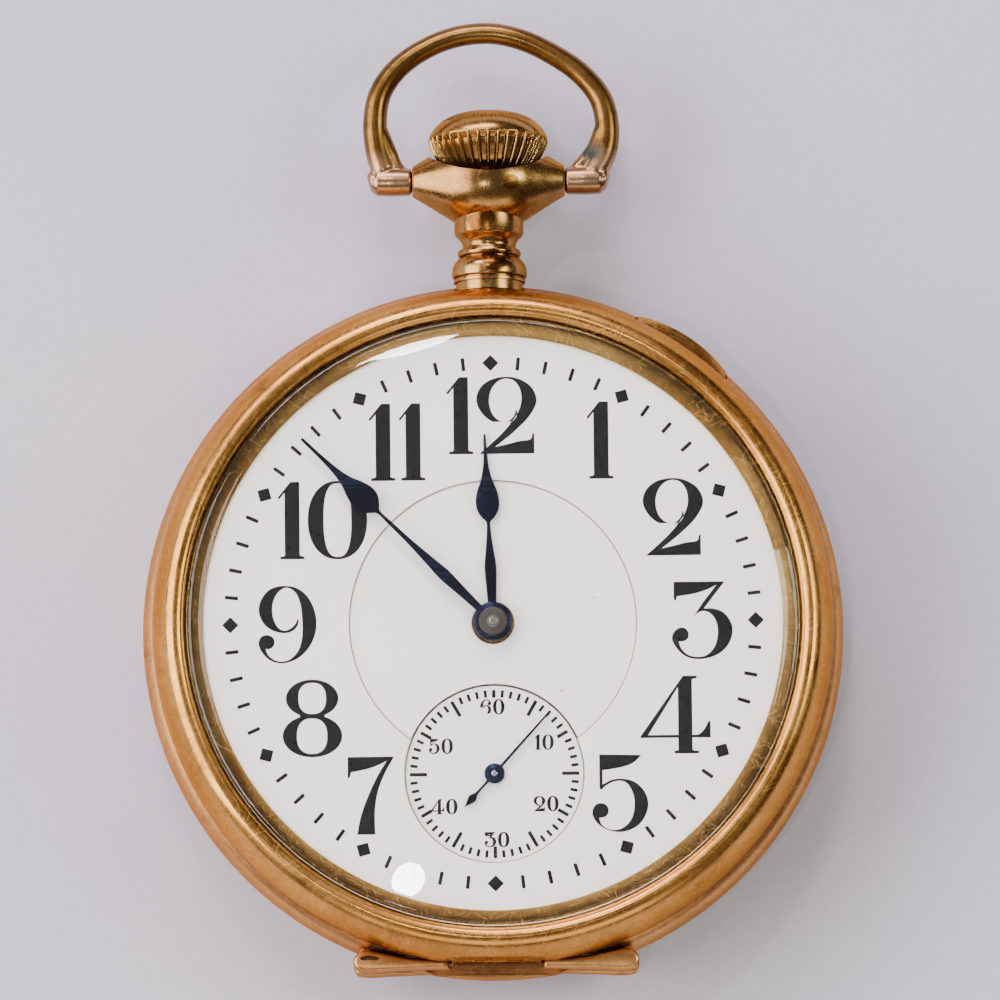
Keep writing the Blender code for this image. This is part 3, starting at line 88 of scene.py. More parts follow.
def spline(points, steps=8, closed=True):
    """A smooth line through 2-D points. A point with a third item is a corner."""
    count = len(points)
    corner = [len(p) > 2 for p in points]
    flat = [Vector(p[:2]) for p in points]
    out = []
    last = count if closed else count - 1
    for i in range(last):
        j = (i + 1) % count
        a, b = flat[i], flat[j]
        if corner[i] and corner[j]:
            out.append(tuple(a))
            continue
        before = a - (b - a) * 0.5 if corner[i] else flat[i - 1]
        after = b + (b - a) * 0.5 if corner[j] else flat[(j + 1) % count]
        if not closed and i == 0:
            before = a - (b - a) * 0.5
        if not closed and j == count - 1:
            after = b + (b - a) * 0.5
        t0 = max((a - before).length, 1e-6) ** 0.5
        t1 = max((b - a).length, 1e-6) ** 0.5
        t2 = max((after - b).length, 1e-6) ** 0.5
        m1 = (a - before) / t0 - (b - before) / (t0 + t1) + (b - a) / t1
        m2 = (b - a) / t1 - (after - a) / (t1 + t2) + (after - b) / t2
        m1, m2 = m1 * t1, m2 * t1
        for k in range(steps):
            t = k / steps
            h = (2 * t**3 - 3 * t**2 + 1, t**3 - 2 * t**2 + t, -2 * t**3 + 3 * t**2, t**3 - t**2)
            out.append(tuple(h[0] * a + h[1] * m1 + h[2] * b + h[3] * m2))
    if not closed:
        out.append(tuple(flat[-1]))
    return out

def circle(centre, radius, steps):
    return [(centre[0] + radius * math.cos(TAU * k / steps), centre[1] + radius * math.sin(TAU * k / steps))
            for k in range(steps)]

def area_of(loop):
    return sum(a[0] * b[1] - b[0] * a[1] for a, b in zip(loop, loop[1:] + loop[:1])) / 2

def inset(loop, reach):
    """Moves a loop to its left by `reach`: into the material, for a counterclockwise outline."""
    out = []
    for before, here, after in zip(loop[-1:] + loop[:-1], loop, loop[1:] + loop[:1]):
        a = (Vector(here) - Vector(before)).normalized()
        b = (Vector(after) - Vector(here)).normalized()
        left = Vector((-a.y - b.y, a.x + b.x))
        if left.length < 1e-6:
            left = Vector((-a.y, a.x))
        left.normalize()
        across = max(0.5, left.dot(Vector((-a.y, a.x))))
        out.append((here[0] + left.x * reach / across, here[1] + left.y * reach / across))
    return out

def turn_loop(loop, angle, at=(0.0, 0.0)):
    c, s = math.cos(angle), math.sin(angle)
    return [(at[0] + c * x - s * y, at[1] + s * x + c * y) for x, y in loop]

# Meshes

def lathe(profile, steps=192):
    """Spins (r, z) points about Z. It closes on the axis or, off it, on itself."""
    bm = bmesh.new()
    rings = []
    for r, z in profile:
        if r < 1e-6:
            rings.append([bm.verts.new((0, 0, z))])
        else:
            rings.append([bm.verts.new((r * math.cos(TAU * k / steps), r * math.sin(TAU * k / steps), z))
                          for k in range(steps)])
    pairs = list(zip(rings, rings[1:]))
    if profile[0][0] > 1e-6:
        pairs.append((rings[-1], rings[0]))
    for one, two in pairs:
        for k in range(steps):
            j = (k + 1) % steps
            if len(one) == 1 and len(two) == 1:
                continue
            if len(one) == 1:
                bm.faces.new((one[0], two[k], two[j]))
            elif len(two) == 1:
                bm.faces.new((one[k], two[0], one[j]))
            else:
                bm.faces.new((one[k], two[k], two[j], one[j]))
    bmesh.ops.recalc_face_normals(bm, faces=bm.faces)
    return bm

def plate(loops, low, high, round_top=0.0, round_low=0.0, arc=3):
    """A plate from an outline and holes, with its top and bottom edges rounded."""
    bm = bmesh.new()
    levels = [(0.0, low)] if not round_low else [
        (round_low * (1 - math.sin(UP * k / arc)), low + round_low * (1 - math.cos(UP * k / arc)))
        for k in range(arc + 1)]
    if round_top:
        levels += [(round_top * (1 - math.cos(UP * k / arc)), high - round_top * (1 - math.sin(UP * k / arc)))
                   for k in range(arc + 1)]
    else:
        levels.append((0.0, high))
    caps = ([], [])
    for index, loop in enumerate(loops):
        wanted = 1 if index == 0 else -1
        loop = loop if area_of(loop) * wanted > 0 else loop[::-1]
        rings = []
        for reach, z in levels:
            moved = inset(loop, reach) if reach > 1e-9 else loop
            rings.append([bm.verts.new((x, y, z)) for x, y in moved])
        count = len(loop)
        for one, two in zip(rings, rings[1:]):
            for k in range(count):
                j = (k + 1) % count
                bm.faces.new((one[k], one[j], two[j], two[k]))
        for cap, ring in zip(caps, (rings[0], rings[-1])):
            cap += [bm.edges.get((a, b)) for a, b in zip(ring, ring[1:] + ring[:1])]
    for cap in caps:
        bmesh.ops.triangle_fill(bm, use_beauty=True, edges=cap, normal=(0, 0, 1))
    bmesh.ops.recalc_face_normals(bm, faces=bm.faces)
    return bm

def box(xs, ys, zs):
    bm = bmesh.new()
    bmesh.ops.create_cube(bm, size=1.0)
    low, high = Vector((xs[0], ys[0], zs[0])), Vector((xs[1], ys[1], zs[1]))
    bm.transform(Matrix.Translation((low + high) / 2) @ Matrix.Diagonal((*(high - low), 1.0)))
    return bm

def loft(rings):
    """Skins rings of equal length and closes both ends."""
    bm = bmesh.new()
    made = [[bm.verts.new(p) for p in ring] for ring in rings]
    for one, two in zip(made, made[1:]):
        for k in range(len(one)):
            j = (k + 1) % len(one)
            bm.faces.new((one[k], one[j], two[j], two[k]))
    bm.faces.new(made[0])
    bm.faces.new(made[-1])
    bmesh.ops.recalc_face_normals(bm, faces=bm.faces)
    return bm

def placed(bm, x=0.0, y=0.0, z=0.0):
    bm.transform(Matrix.Translation((x, y, z)))
    return bm

def spun(bm, angle, axis="Z"):
    bm.transform(Matrix.Rotation(angle, 4, axis))
    return bm

def along_y(bm):
    return spun(bm, -UP, "X")

def along_x(bm):
    return spun(bm, UP, "Y")

def rod(radius, low, high, steps=40):
    """A plain cylinder along Z."""
    return lathe([(0, low), (radius, low), (radius, high), (0, high)], steps)

def at_stem(bm):
    """Turns a shape spun about Z onto the stem's axis."""
    return placed(along_y(bm), 0, 0, STEM_Z)

def joined(*parts):
    """Several separate bodies in one mesh."""
    whole = bmesh.new()
    for part in parts:
        mesh = bpy.data.meshes.new("part")
        part.to_mesh(mesh)
        part.free()
        whole.from_mesh(mesh)
        bpy.data.meshes.remove(mesh)
    return whole

def raw(bm, name="tool"):
    bm.transform(Matrix.Scale(MM, 4))
    mesh = bpy.data.meshes.new(name)
    bm.to_mesh(mesh)
    bm.free()
    item = bpy.data.objects.new(name, mesh)
    bpy.context.scene.collection.objects.link(item)
    return item

def apply_all(item):
    graph = bpy.context.evaluated_depsgraph_get()
    mesh = bpy.data.meshes.new_from_object(item.evaluated_get(graph))
    old = item.data
    item.modifiers.clear()
    item.data = mesh
    bpy.data.meshes.remove(old)

def merged(base, *steps):
    """base is a mesh in millimetres; steps are ("UNION" or "DIFFERENCE", mesh) pairs."""
    item = raw(base)
    for operation, tool in steps:
        other = raw(tool)
        modifier = item.modifiers.new("join", "BOOLEAN")
        modifier.operation = operation
        modifier.solver = "MANIFOLD"
        modifier.object = other
        apply_all(item)
        bpy.data.objects.remove(other)
    bm = bmesh.new()
    bm.from_mesh(item.data)
    bm.transform(Matrix.Scale(1 / MM, 4))
    bpy.data.objects.remove(item)
    return bm

def shown(name, bm, material, body, slot, *nodes, sharp=32.0, weighted=True):
    """Makes a finished piece that rides on a body and stands for CAD nodes."""
    item = raw(bm, name)
    item.name = name
    item.data.materials.append(material)
    item.data.shade_smooth()
    item.data.set_sharp_from_angle(angle=math.radians(sharp))
    if weighted:
        modifier = item.modifiers.new("normals", "WEIGHTED_NORMAL")
        modifier.keep_sharp = True
    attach(item, body)
    if nodes:
        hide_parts(*nodes)
    return item

# Materials

class Paint:
    """Builds one procedural material."""

    def __init__(self, name, colour, metallic, roughness):
        self.material = bpy.data.materials.new(name)
        self.material.use_nodes = True
        self.tree = self.material.node_tree
        self.shader = self.tree.nodes["Principled BSDF"]
        self.shader.inputs["Base Color"].default_value = (*colour, 1.0)
        self.shader.inputs["Metallic"].default_value = metallic
        self.shader.inputs["Roughness"].default_value = roughness
        self.place = self.node("ShaderNodeTexCoord").outputs["Object"]

    def node(self, kind, **values):
        made = self.tree.nodes.new(kind)
        for key, value in values.items():
            setattr(made, key, value)
        return made

    def link(self, source, target):
        self.tree.links.new(source, target)

    def math(self, operation, *values):
        made = self.node("ShaderNodeMath", operation=operation)
        for slot, value in zip(made.inputs, values):
            if isinstance(value, (int, float)):
                slot.default_value = value
            else:
                self.link(value, slot)
        return made.outputs[0]

    def noise(self, scale, detail=4.0, roughness=0.55, vector=None, distortion=0.0):
        made = self.node("ShaderNodeTexNoise")
        made.inputs["Scale"].default_value = scale
        made.inputs["Detail"].default_value = detail
        made.inputs["Roughness"].default_value = roughness
        made.inputs["Distortion"].default_value = distortion
        self.link(vector or self.place, made.inputs["Vector"])
        return made.outputs["Fac"]

    def scaled(self, factors, vector=None):
        made = self.node("ShaderNodeVectorMath", operation="MULTIPLY")
        self.link(vector or self.place, made.inputs[0])
        made.inputs[1].default_value = factors
        return made.outputs[0]

    def plus(self, one, two):
        return self.math("ADD", one, two)

    def times(self, one, two):
        return self.math("MULTIPLY", one, two)

    def split(self, vector=None):
        made = self.node("ShaderNodeSeparateXYZ")
        self.link(vector or self.place, made.inputs[0])
        return made.outputs

    def distance(self, x, y, z):
        """Distance to a point given in millimetres."""
        made = self.node("ShaderNodeVectorMath", operation="DISTANCE")
        self.link(self.place, made.inputs[0])
        made.inputs[1].default_value = (x * MM, y * MM, z * MM)
        return made.outputs["Value"]

    def polar(self, around, along, axis):
        """Coordinates that run round an axis, so that noise in them gives turned scratches."""
        shift = self.node("ShaderNodeVectorMath", operation="SUBTRACT")
        self.link(self.place, shift.inputs[0])
        shift.inputs[1].default_value = (0, 0, STEM_Z * MM if axis == "Y" else 0)
        x, y, z = self.split(shift.outputs[0])
        if axis == "Y":
            y, z = z, y
        radius = self.math("SQRT", self.plus(self.times(x, x), self.times(y, y)))
        safe = self.math("MAXIMUM", radius, 1e-5)
        made = self.node("ShaderNodeCombineXYZ")
        places = (self.plus(self.times(self.math("DIVIDE", x, safe), around), self.times(radius, along)),
                  self.times(self.math("DIVIDE", y, safe), around), self.times(z, along))
        for slot, value in zip(made.inputs, places):
            self.link(value, slot)
        return made.outputs[0]

    def turned_place(self, angle, factors):
        made = self.node("ShaderNodeVectorRotate", rotation_type="Z_AXIS")
        self.link(self.place, made.inputs["Vector"])
        made.inputs["Angle"].default_value = angle
        return self.scaled(factors, made.outputs[0])

    def ramp(self, value, *stops):
        made = self.node("ShaderNodeValToRGB")
        while len(made.color_ramp.elements) < len(stops):
            made.color_ramp.elements.new(0.5)
        for element, (position, colour) in zip(made.color_ramp.elements, stops):
            element.position = position
            element.color = (*colour, 1.0) if isinstance(colour, tuple) else (colour, colour, colour, 1.0)
        self.link(value, made.inputs["Fac"])
        return made.outputs["Color"]

    def mix(self, factor, one, two, kind="MIX"):
        made = self.node("ShaderNodeMix", data_type="RGBA", blend_type=kind)
        slots = (made.inputs["Factor"], made.inputs["A"], made.inputs["B"])
        for slot, value in zip(slots, (factor, one, two)):
            if isinstance(value, tuple):
                slot.default_value = (*value, 1.0)
            elif isinstance(value, (int, float)):
                slot.default_value = value
            else:
                self.link(value, slot)
        return made.outputs["Result"]

    def spread(self, value, low, high, new_low, new_high):
        made = self.node("ShaderNodeMapRange")
        self.link(value, made.inputs["Value"])
        for slot, number in zip(("From Min", "From Max", "To Min", "To Max"), (low, high, new_low, new_high)):
            made.inputs[slot].default_value = number
        return made.outputs["Result"]

    def colour(self, source):
        self.link(source, self.shader.inputs["Base Color"])

    def rough(self, source):
        self.link(source, self.shader.inputs["Roughness"])

    def bump(self, height, strength, distance=0.02):
        made = self.node("ShaderNodeBump")
        made.inputs["Strength"].default_value = abs(strength)
        made.invert = strength < 0
        made.inputs["Distance"].default_value = distance * MM
        self.link(height, made.inputs["Height"])
        previous = self.shader.inputs["Normal"].links
        if previous:
            self.link(previous[0].from_socket, made.inputs["Normal"])
        self.link(made.outputs["Normal"], self.shader.inputs["Normal"])

def gold_paint(name, light, deep, tarnish, axis, rough, wear, scratch, spots=()):
    """Worn gold fill: drifting colour, tarnish, turned marks, random scratches and painted shade in recesses.
    """
    p = Paint(name, light, 1.0, rough)
    p.shader.inputs["Specular Tint"].default_value = (0.93, 0.62, 0.40, 1.0)
    broad = p.noise(85.0, 5.0, 0.6)
    patch = p.noise(210.0, 8.0, 0.72, distortion=0.6)
    fine = p.noise(2600.0, 3.0, 0.6)
    turned = p.noise(1.0, 3.0, 0.5, p.polar(5.0, 26000.0, axis))
    lines = None
    for angle, length in ((0.5, 420.0), (1.9, 560.0), (2.8, 380.0), (1.2, 700.0)):
        hair = p.noise(1.0, 2.0, 0.35, p.turned_place(angle, (length, 17000.0, length)))
        hair = p.ramp(hair, (0.685, 0.0), (0.72, 1.0))
        lines = p.math("MAXIMUM", lines, hair) if lines else hair
    base = p.ramp(broad, (0.34, deep), (0.64, light))
    stained = p.mix(p.ramp(patch, (0.56, 0.0), (0.70, wear)), base, tarnish)
    for x, y, z, size in spots:
        ragged = p.plus(p.times(p.distance(x, y, z), 1 / (size * MM)), p.spread(patch, 0.3, 0.7, -0.35, 0.35))
        stained = p.mix(p.ramp(ragged, (0.80, 0.9), (0.92, 0.0)), stained, tarnish)
    # Painted shade: the colour darkens to a deep brown where ambient occlusion finds nearby surfaces, in
    # recesses and joints.
    hidden = p.node("ShaderNodeAmbientOcclusion", samples=6)
    hidden.inputs["Distance"].default_value = 0.7 * MM
    recess_shade = p.ramp(hidden.outputs["AO"], (0.30, 0.85), (0.72, 0.0))
    stained = p.mix(recess_shade, stained, (0.055, 0.024, 0.007))
    shaded = p.mix(1.0, stained, p.ramp(fine, (0.38, 0.84), (0.62, 1.0)), "MULTIPLY")
    bright = tuple(min(1.0, c * 1.35 + 0.05) for c in light)
    p.colour(p.mix(p.times(lines, scratch), shaded, bright))
    worn = p.plus(p.spread(patch, 0.3, 0.75, rough - 0.05, rough + 0.14),
                  p.spread(turned, 0.35, 0.65, -0.04, 0.06))
    p.rough(p.plus(worn, p.times(lines, 0.10)))
    p.bump(turned, 0.30, 0.006)
    p.bump(lines, -0.30 * scratch, 0.006)
    p.bump(fine, 0.10, 0.010)
    return p.material

def bow_paint():
    """Rubbed olive brown bronze, with green corrosion where the right leg meets its trunnion."""
    p = Paint("worn_bronze_bow", (0.36, 0.20, 0.06), 1.0, 0.27)
    broad = p.noise(140.0, 5.0, 0.6)
    patch = p.noise(420.0, 8.0, 0.7, distortion=0.5)
    base = p.ramp(broad, (0.34, (0.13, 0.062, 0.014)), (0.66, (0.29, 0.155, 0.045)))
    stained = p.mix(p.ramp(patch, (0.52, 0.0), (0.66, 0.8)), base, (0.045, 0.022, 0.006))
    low = p.spread(p.split()[1], (PIVOT_Y + 1.0) * MM, (PIVOT_Y + 2.4) * MM, 1.0, 0.0)
    rose = p.mix(p.times(low, 0.75), stained, (0.46, 0.27, 0.15))
    near = p.spread(p.distance(7.3, PIVOT_Y + 1.75, STEM_Z + 0.8), 0.4 * MM, 1.5 * MM, 1.0, 0.0)
    green = p.times(near, p.ramp(patch, (0.40, 0.0), (0.52, 1.0)))
    p.colour(p.mix(green, rose, (0.010, 0.026, 0.016)))
    p.link(p.math("SUBTRACT", 1.0, p.times(green, 0.8)), p.shader.inputs["Metallic"])
    p.rough(p.plus(p.spread(patch, 0.3, 0.75, 0.22, 0.40), p.times(green, 0.3)))
    p.bump(patch, 0.25, 0.03)
    p.bump(p.noise(3000.0, 3.0, 0.6), 0.15, 0.010)
    return p.material

def enamel_paint(name, colour, stain):
    """Fired enamel: near white, a little uneven, with a few dark specks."""
    p = Paint(name, colour, 0.0, 0.10)
    cloud = p.noise(120.0, 4.0, 0.6)
    speck = p.noise(900.0, 2.0, 0.5)
    base = p.ramp(cloud, (0.35, tuple(c * 0.965 for c in colour)), (0.65, colour))
    p.colour(p.mix(p.ramp(speck, (0.765, 0.0), (0.80, 0.55)), base, stain))
    p.rough(p.spread(cloud, 0.3, 0.7, 0.07, 0.14))
    p.bump(p.noise(500.0, 2.0), 0.06, 0.02)
    p.shader.inputs["Coat Weight"].default_value = 0.4
    p.shader.inputs["Coat Roughness"].default_value = 0.04
    return p.material

def ink_paint():
    """Fired black of the figures, worn thin in places."""
    p = Paint("dial_black", (0.003, 0.003, 0.004), 0.0, 0.45)
    p.shader.inputs["Specular IOR Level"].default_value = 0.12
    wear = p.noise(2400.0, 3.0, 0.7)
    p.colour(p.ramp(wear, (0.30, (0.002, 0.002, 0.003)), (0.68, (0.006, 0.006, 0.008)),
                    (0.80, (0.10, 0.10, 0.10))))
    p.rough(p.spread(wear, 0.3, 0.7, 0.25, 0.45))
    p.bump(wear, 0.2, 0.004)
    return p.material

def metal_paint(name, light, deep, rough, metallic=1.0, coat=0.0):
    """A drawn surface with fine lines along its grain."""
    p = Paint(name, light, metallic, rough)
    p.shader.inputs["Coat Weight"].default_value = coat
    broad = p.noise(160.0, 4.0, 0.6)
    lines = p.noise(1.0, 3.0, 0.5, p.scaled((300.0, 9000.0, 300.0)))
    p.colour(p.mix(1.0, p.ramp(broad, (0.34, deep), (0.64, light)),
                   p.ramp(lines, (0.35, 0.90), (0.65, 1.0)), "MULTIPLY"))
    p.rough(p.plus(p.spread(broad, 0.3, 0.7, rough - 0.04, rough + 0.06),
                   p.spread(lines, 0.35, 0.65, -0.03, 0.04)))
    p.bump(lines, 0.25, 0.004)
    p.bump(p.noise(3000.0, 2.0), 0.08, 0.005)
    return p.material

def nickel_paint():
    """Damaskeened nickel: broad stripes across the bridges, each with its own fine grain."""
    p = Paint("damaskeened_nickel", (0.60, 0.57, 0.52), 1.0, 0.25)
    x, y, _ = p.split()
    stripe = p.math("FRACT", p.times(p.plus(p.times(x, 0.82), p.times(y, 0.57)), 1 / (STRIPE * MM)))
    curl = p.noise(1.0, 2.0, 0.5, p.scaled((5200.0, 5200.0, 5200.0)))
    shade = p.ramp(stripe, (0.0, (0.44, 0.41, 0.37)), (0.5, (0.66, 0.63, 0.58)), (0.96, (0.50, 0.47, 0.42)))
    p.colour(p.mix(1.0, shade, p.ramp(curl, (0.3, 0.9), (0.7, 1.0)), "MULTIPLY"))
    p.rough(p.plus(p.spread(stripe, 0.0, 1.0, 0.20, 0.34), p.spread(curl, 0.3, 0.7, -0.03, 0.03)))
    p.bump(stripe, 0.25, 0.03)
    p.bump(curl, 0.15, 0.004)
    return p.material

def glass_paint():
    """Mineral glass that lets the lamps through to the dial, faintly scratched."""
    p = Paint("mineral_crystal", (1.0, 1.0, 1.0), 0.0, 0.02)
    p.shader.inputs["Transmission Weight"].default_value = 1.0
    p.shader.inputs["IOR"].default_value = 1.46
    scratch = p.noise(1.0, 2.0, 0.5, p.scaled((600.0, 9000.0, 600.0)))
    p.rough(p.ramp(scratch, (0.66, 0.012), (0.74, 0.06)))
    p.bump(p.noise(40.0, 2.0), 0.03, 0.05)
    clear = p.node("ShaderNodeBsdfTransparent")
    clear.inputs["Color"].default_value = (0.97, 0.975, 0.97, 1.0)
    ray = p.node("ShaderNodeLightPath")
    choose = p.node("ShaderNodeMixShader")
    p.link(ray.outputs["Is Shadow Ray"], choose.inputs[0])
    p.link(p.shader.outputs[0], choose.inputs[1])
    p.link(clear.outputs[0], choose.inputs[2])
    p.link(choose.outputs[0], p.tree.nodes["Material Output"].inputs["Surface"])
    return p.material

LIGHT_GOLD = (0.66, 0.335, 0.118)
ROSE_GOLD = (0.52, 0.235, 0.085)
TARNISH = (0.11, 0.042, 0.009)
# Brown stains on the pendant: a point and a reach, in millimetres
STAINS = ((1.65, 32.55, 9.25, 0.62), (-0.6, 30.1, 8.4, 1.15), (0.35, 26.95, 8.6, 0.95))
GOLD = gold_paint("worn_gold_case", LIGHT_GOLD, ROSE_GOLD, TARNISH, "Z", 0.30, 0.5, 0.45)
GOLD_BEZEL = gold_paint("worn_gold_bezel", (0.66, 0.325, 0.085), (0.46, 0.195, 0.04), TARNISH, "Z",
                        0.23, 0.6, 0.5)
GOLD_INNER = gold_paint("gilt_reflector", (0.74, 0.47, 0.15), (0.60, 0.35, 0.09), TARNISH, "Z",
                        0.13, 0.35, 0.2)
GOLD_NECK = gold_paint("worn_gold_pendant", (0.50, 0.29, 0.10), (0.31, 0.155, 0.048), (0.13, 0.045, 0.008),
                       "Y", 0.20, 0.75, 0.2, STAINS)
GOLD_CROWN = gold_paint("worn_gold_crown", (0.54, 0.32, 0.12), (0.36, 0.19, 0.05), TARNISH, "Y",
                        0.20, 0.5, 0.2)
# A darker gold for the hinge pins and for the bezel's hinge knuckle and web.
GOLD_DARK = gold_paint("dark_knuckle_gold", (0.26, 0.12, 0.05), (0.15, 0.06, 0.022), (0.05, 0.02, 0.006), "Z",
                       0.34, 0.7, 0.3)
GOLD_BOW = bow_paint()
ENAMEL = enamel_paint("white_enamel", (0.74, 0.73, 0.70), (0.12, 0.08, 0.05))
INK = ink_paint()
GLASS = glass_paint()
BLUED = metal_paint("blued_steel", (0.018, 0.024, 0.060), (0.010, 0.012, 0.028), 0.24)
STEEL = metal_paint("polished_steel", (0.50, 0.50, 0.51), (0.38, 0.38, 0.39), 0.20)
DULL = metal_paint("worn_steel_tip", (0.075, 0.068, 0.058), (0.035, 0.032, 0.028), 0.45)
GILT = metal_paint("gilt_brass", (0.70, 0.50, 0.22), (0.58, 0.38, 0.14), 0.24)
NICKEL = nickel_paint()
RUBY = metal_paint("ruby_jewel", (0.42, 0.012, 0.05), (0.25, 0.006, 0.03), 0.08, metallic=0.0, coat=1.0)

# Case

def wing(side, z, inward, inner):
    """One side of a hinge: a lens shaped bar with a rounded far end, on a step of the band."""
    near = CENTRE_HALF + 0.12
    outline = spline([(near, -24.05, 1), (5.2, -24.05), *inner, (10.2, -23.82), (10.38, -24.3),
                      (10.15, -24.84),
                      (9.5, -25.02), (7.5, -24.96), (5.2, -24.88), (near, -24.86, 1)], 6)
    step = spline([(near, -23.0, 1), (9.4, -22.9, 1), (9.95, -23.5), (9.9, -24.3), (9.4, -24.7, 1),
                   (near, -24.7, 1)], 6)
    shapes = ((outline, 0.8, -0.36, 0.28), (step, 0.5, 1.1, 0.10))
    made = []
    for line, one, two, edge in shapes:
        levels = sorted((z + inward * one, z + inward * two))
        made.append(plate([[(side * x, y) for x, y in line]], *levels, edge, edge))
    return made

def case_centre():
    profile = spline([
        (20.9, 2.85, 1), (23.8, 2.85, 1), (23.95, 3.45, 1), (25.15, 3.45, 1), (25.26, 3.55), (25.42, 4.1),
        (CASE_R, 4.8), (25.47, 5.4), (25.34, 6.05), (25.1, 6.55), (24.78, 6.88), (24.7, 6.95, 1),
        (24.1, 6.95, 1),
        (23.95, 8.3, 1), (23.85, 8.4, 1), (22.7, 8.4, 1), (22.7, 7.9, 1), (21.65, 7.9, 1), (21.65, 6.85, 1),
        (20.9, 6.85, 1)], 6)
    centre = CENTRE_HALF + 0.35
    wide, narrow = centre + 1.9, centre + 0.9
    recess = [(-wide, -FAR), (wide, -FAR), (wide, HINGE_Y - 0.3), (narrow, HINGE_Y + 0.2),
              (-narrow, HINGE_Y + 0.2), (-wide, HINGE_Y - 0.3)]
    pocket = [(-centre - 1.7, -24.8), (-centre - 0.5, -25.2), (centre + 0.5, -25.2), (centre + 1.7, -24.8),
              (narrow, -24.35), (-narrow, -24.35)]
    slot = spline([(-9.85, -24.02), (-9.3, -23.86), (-8.55, -24.0), (-8.5, -24.14), (-9.3, -24.16),
                   (-9.8, -24.17)], 5)
    lines = ((BEZEL_Z, -1, [(6.5, -24.0), (8.5, -23.6), (9.6, -23.45)]),
             (BACK_Z, 1, [(6.5, -24.05), (8.5, -24.0), (9.6, -23.65)]))
    steps = [("DIFFERENCE", at_stem(rod(0.75, 19, 30, 48)))]
    for z, inward, inner in lines:
        notch = sorted((z - inward, z + inward * NOTCH_DEEP))
        steps.append(("DIFFERENCE", box((-NOTCH_HALF, NOTCH_HALF), (-FAR, HINGE_Y + 0.66), notch)))
        steps.append(("DIFFERENCE", plate([recess], *sorted((z, z + inward * 1.15)))))
    steps.append(("DIFFERENCE", plate([pocket], 4.7, 7.0)))
    for z, inward, inner in lines:
        for side in (-1, 1):
            steps += [("UNION", piece) for piece in wing(side, z, inward, inner)]
            bore = along_x(rod(PIN_BORE, side * CENTRE_HALF, side * 10.4))
            steps.append(("DIFFERENCE", placed(bore, 0, HINGE_Y, z)))
    steps.append(("DIFFERENCE", plate([slot], BEZEL_Z - 0.2, BEZEL_Z + 1.0)))
    shown("case_band", merged(lathe(profile, RIM_STEPS), *steps), GOLD, "case", "gold_fill", "case_centre")

def pins():
    end = HINGE_HALF - 0.5
    for name, z in (("bezel_hinge_pin", BEZEL_Z), ("back_hinge_pin", BACK_Z)):
        bm = lathe([(0, -end), (HINGE_PIN - 0.04, -end), (HINGE_PIN, 0.04 - end), (HINGE_PIN, end - 0.04),
                    (HINGE_PIN - 0.04, end), (0, end)], 24)
        shown(name + "_rod", placed(along_x(bm), 0, HINGE_Y, z), GOLD_DARK, "case", "steel", name)

def leaf(z, inward):
    """The centre knuckle of a cover, ribbed by wear, and the web that ties it to the cover."""
    half = CENTRE_HALF - 0.06
    ribs = 34
    line = []
    for k in range(ribs):
        x = -half + 2 * half * k / ribs
        line += [(HINGE_TUBE - 0.035, x + 0.01), (HINGE_TUBE, x + 0.05), (HINGE_TUBE, x + 0.14)]
    profile = [(PIN_BORE, -half)] + line + [(HINGE_TUBE - 0.035, half), (PIN_BORE, half)]
    web = sorted((z + inward * (HINGE_PIN + 0.06), z + inward * (HINGE_TUBE + 0.4)))
    return (("UNION", placed(along_x(lathe(profile, 48)), 0.0, HINGE_Y, z)),
            ("UNION", box((-half, half), (HINGE_Y + 0.02, HINGE_Y + 0.33), web)))

def sector_lip(inner, outer_profile, low, high, steps=48):
    """A thumb lip: a short arc that swells out of the rim and fades at both ends."""
    rings = []
    for k in range(steps + 1):
        share = k / steps
        swell = math.sin(math.pi * share) ** 0.55
        angle = low + (high - low) * share
        ring = []
        for r, z in outer_profile:
            reach = inner + (r - inner) * max(0.02, swell) if r > inner else r
            ring.append((reach * math.cos(angle), reach * math.sin(angle), z))
        rings.append(ring)
    return loft(rings)

def bezel():
    profile = spline([
        (24.2, 7.05, 1), (24.56, 7.05, 1), (24.66, 7.16), (24.72, 7.6), (24.74, 8.5), (24.66, 9.4),
        (24.42, 10.3),
        (24.05, 11.1), (23.6, 11.62), (23.1, 11.85), (22.65, 11.72), (22.38, 11.35), (22.28, 10.95, 1),
        (22.28, 10.72, 1), (21.86, 10.72, 1), (21.8, 10.66, 1), (21.05, 10.24, 1), (21.0, 10.16, 1),
        (21.0, 10.08, 1), (22.3, 10.08, 1), (24.2, 9.2, 1)], 7)
    lip_line = [(24.45, 7.06), (25.62, 7.08), (25.74, 7.16), (25.72, 7.34), (25.3, 7.66), (24.45, 8.2)]
    steps = [("DIFFERENCE", box((-NOTCH_HALF, NOTCH_HALF), (-FAR, HINGE_Y + 0.6), (0, BEZEL_Z + NOTCH_DEEP))),
             ("DIFFERENCE", box((-6.2, 6.2), (-FAR, HINGE_Y + 0.13), (0, 10.4))),
             *leaf(BEZEL_Z, 1),
             ("UNION", sector_lip(25.1, lip_line, math.radians(46.5), math.radians(65)))]
    body = merged(lathe(profile, RIM_STEPS), *steps)
    ring = shown("bezel_ring", body, GOLD_BEZEL, "bezel_body", "gold_fill", "bezel")
    ring.data.materials.append(GOLD_INNER)
    ring.data.materials.append(GOLD_DARK)
    for face in ring.data.polygons:
        middle = face.center / MM
        if math.hypot(middle.x, middle.y) < 22.3 and middle.z < 10.9:
            face.material_index = 1
        elif abs(middle.x) < CENTRE_HALF and middle.y < HINGE_Y + 0.3 and middle.z < BEZEL_Z + 0.46:
            face.material_index = 2

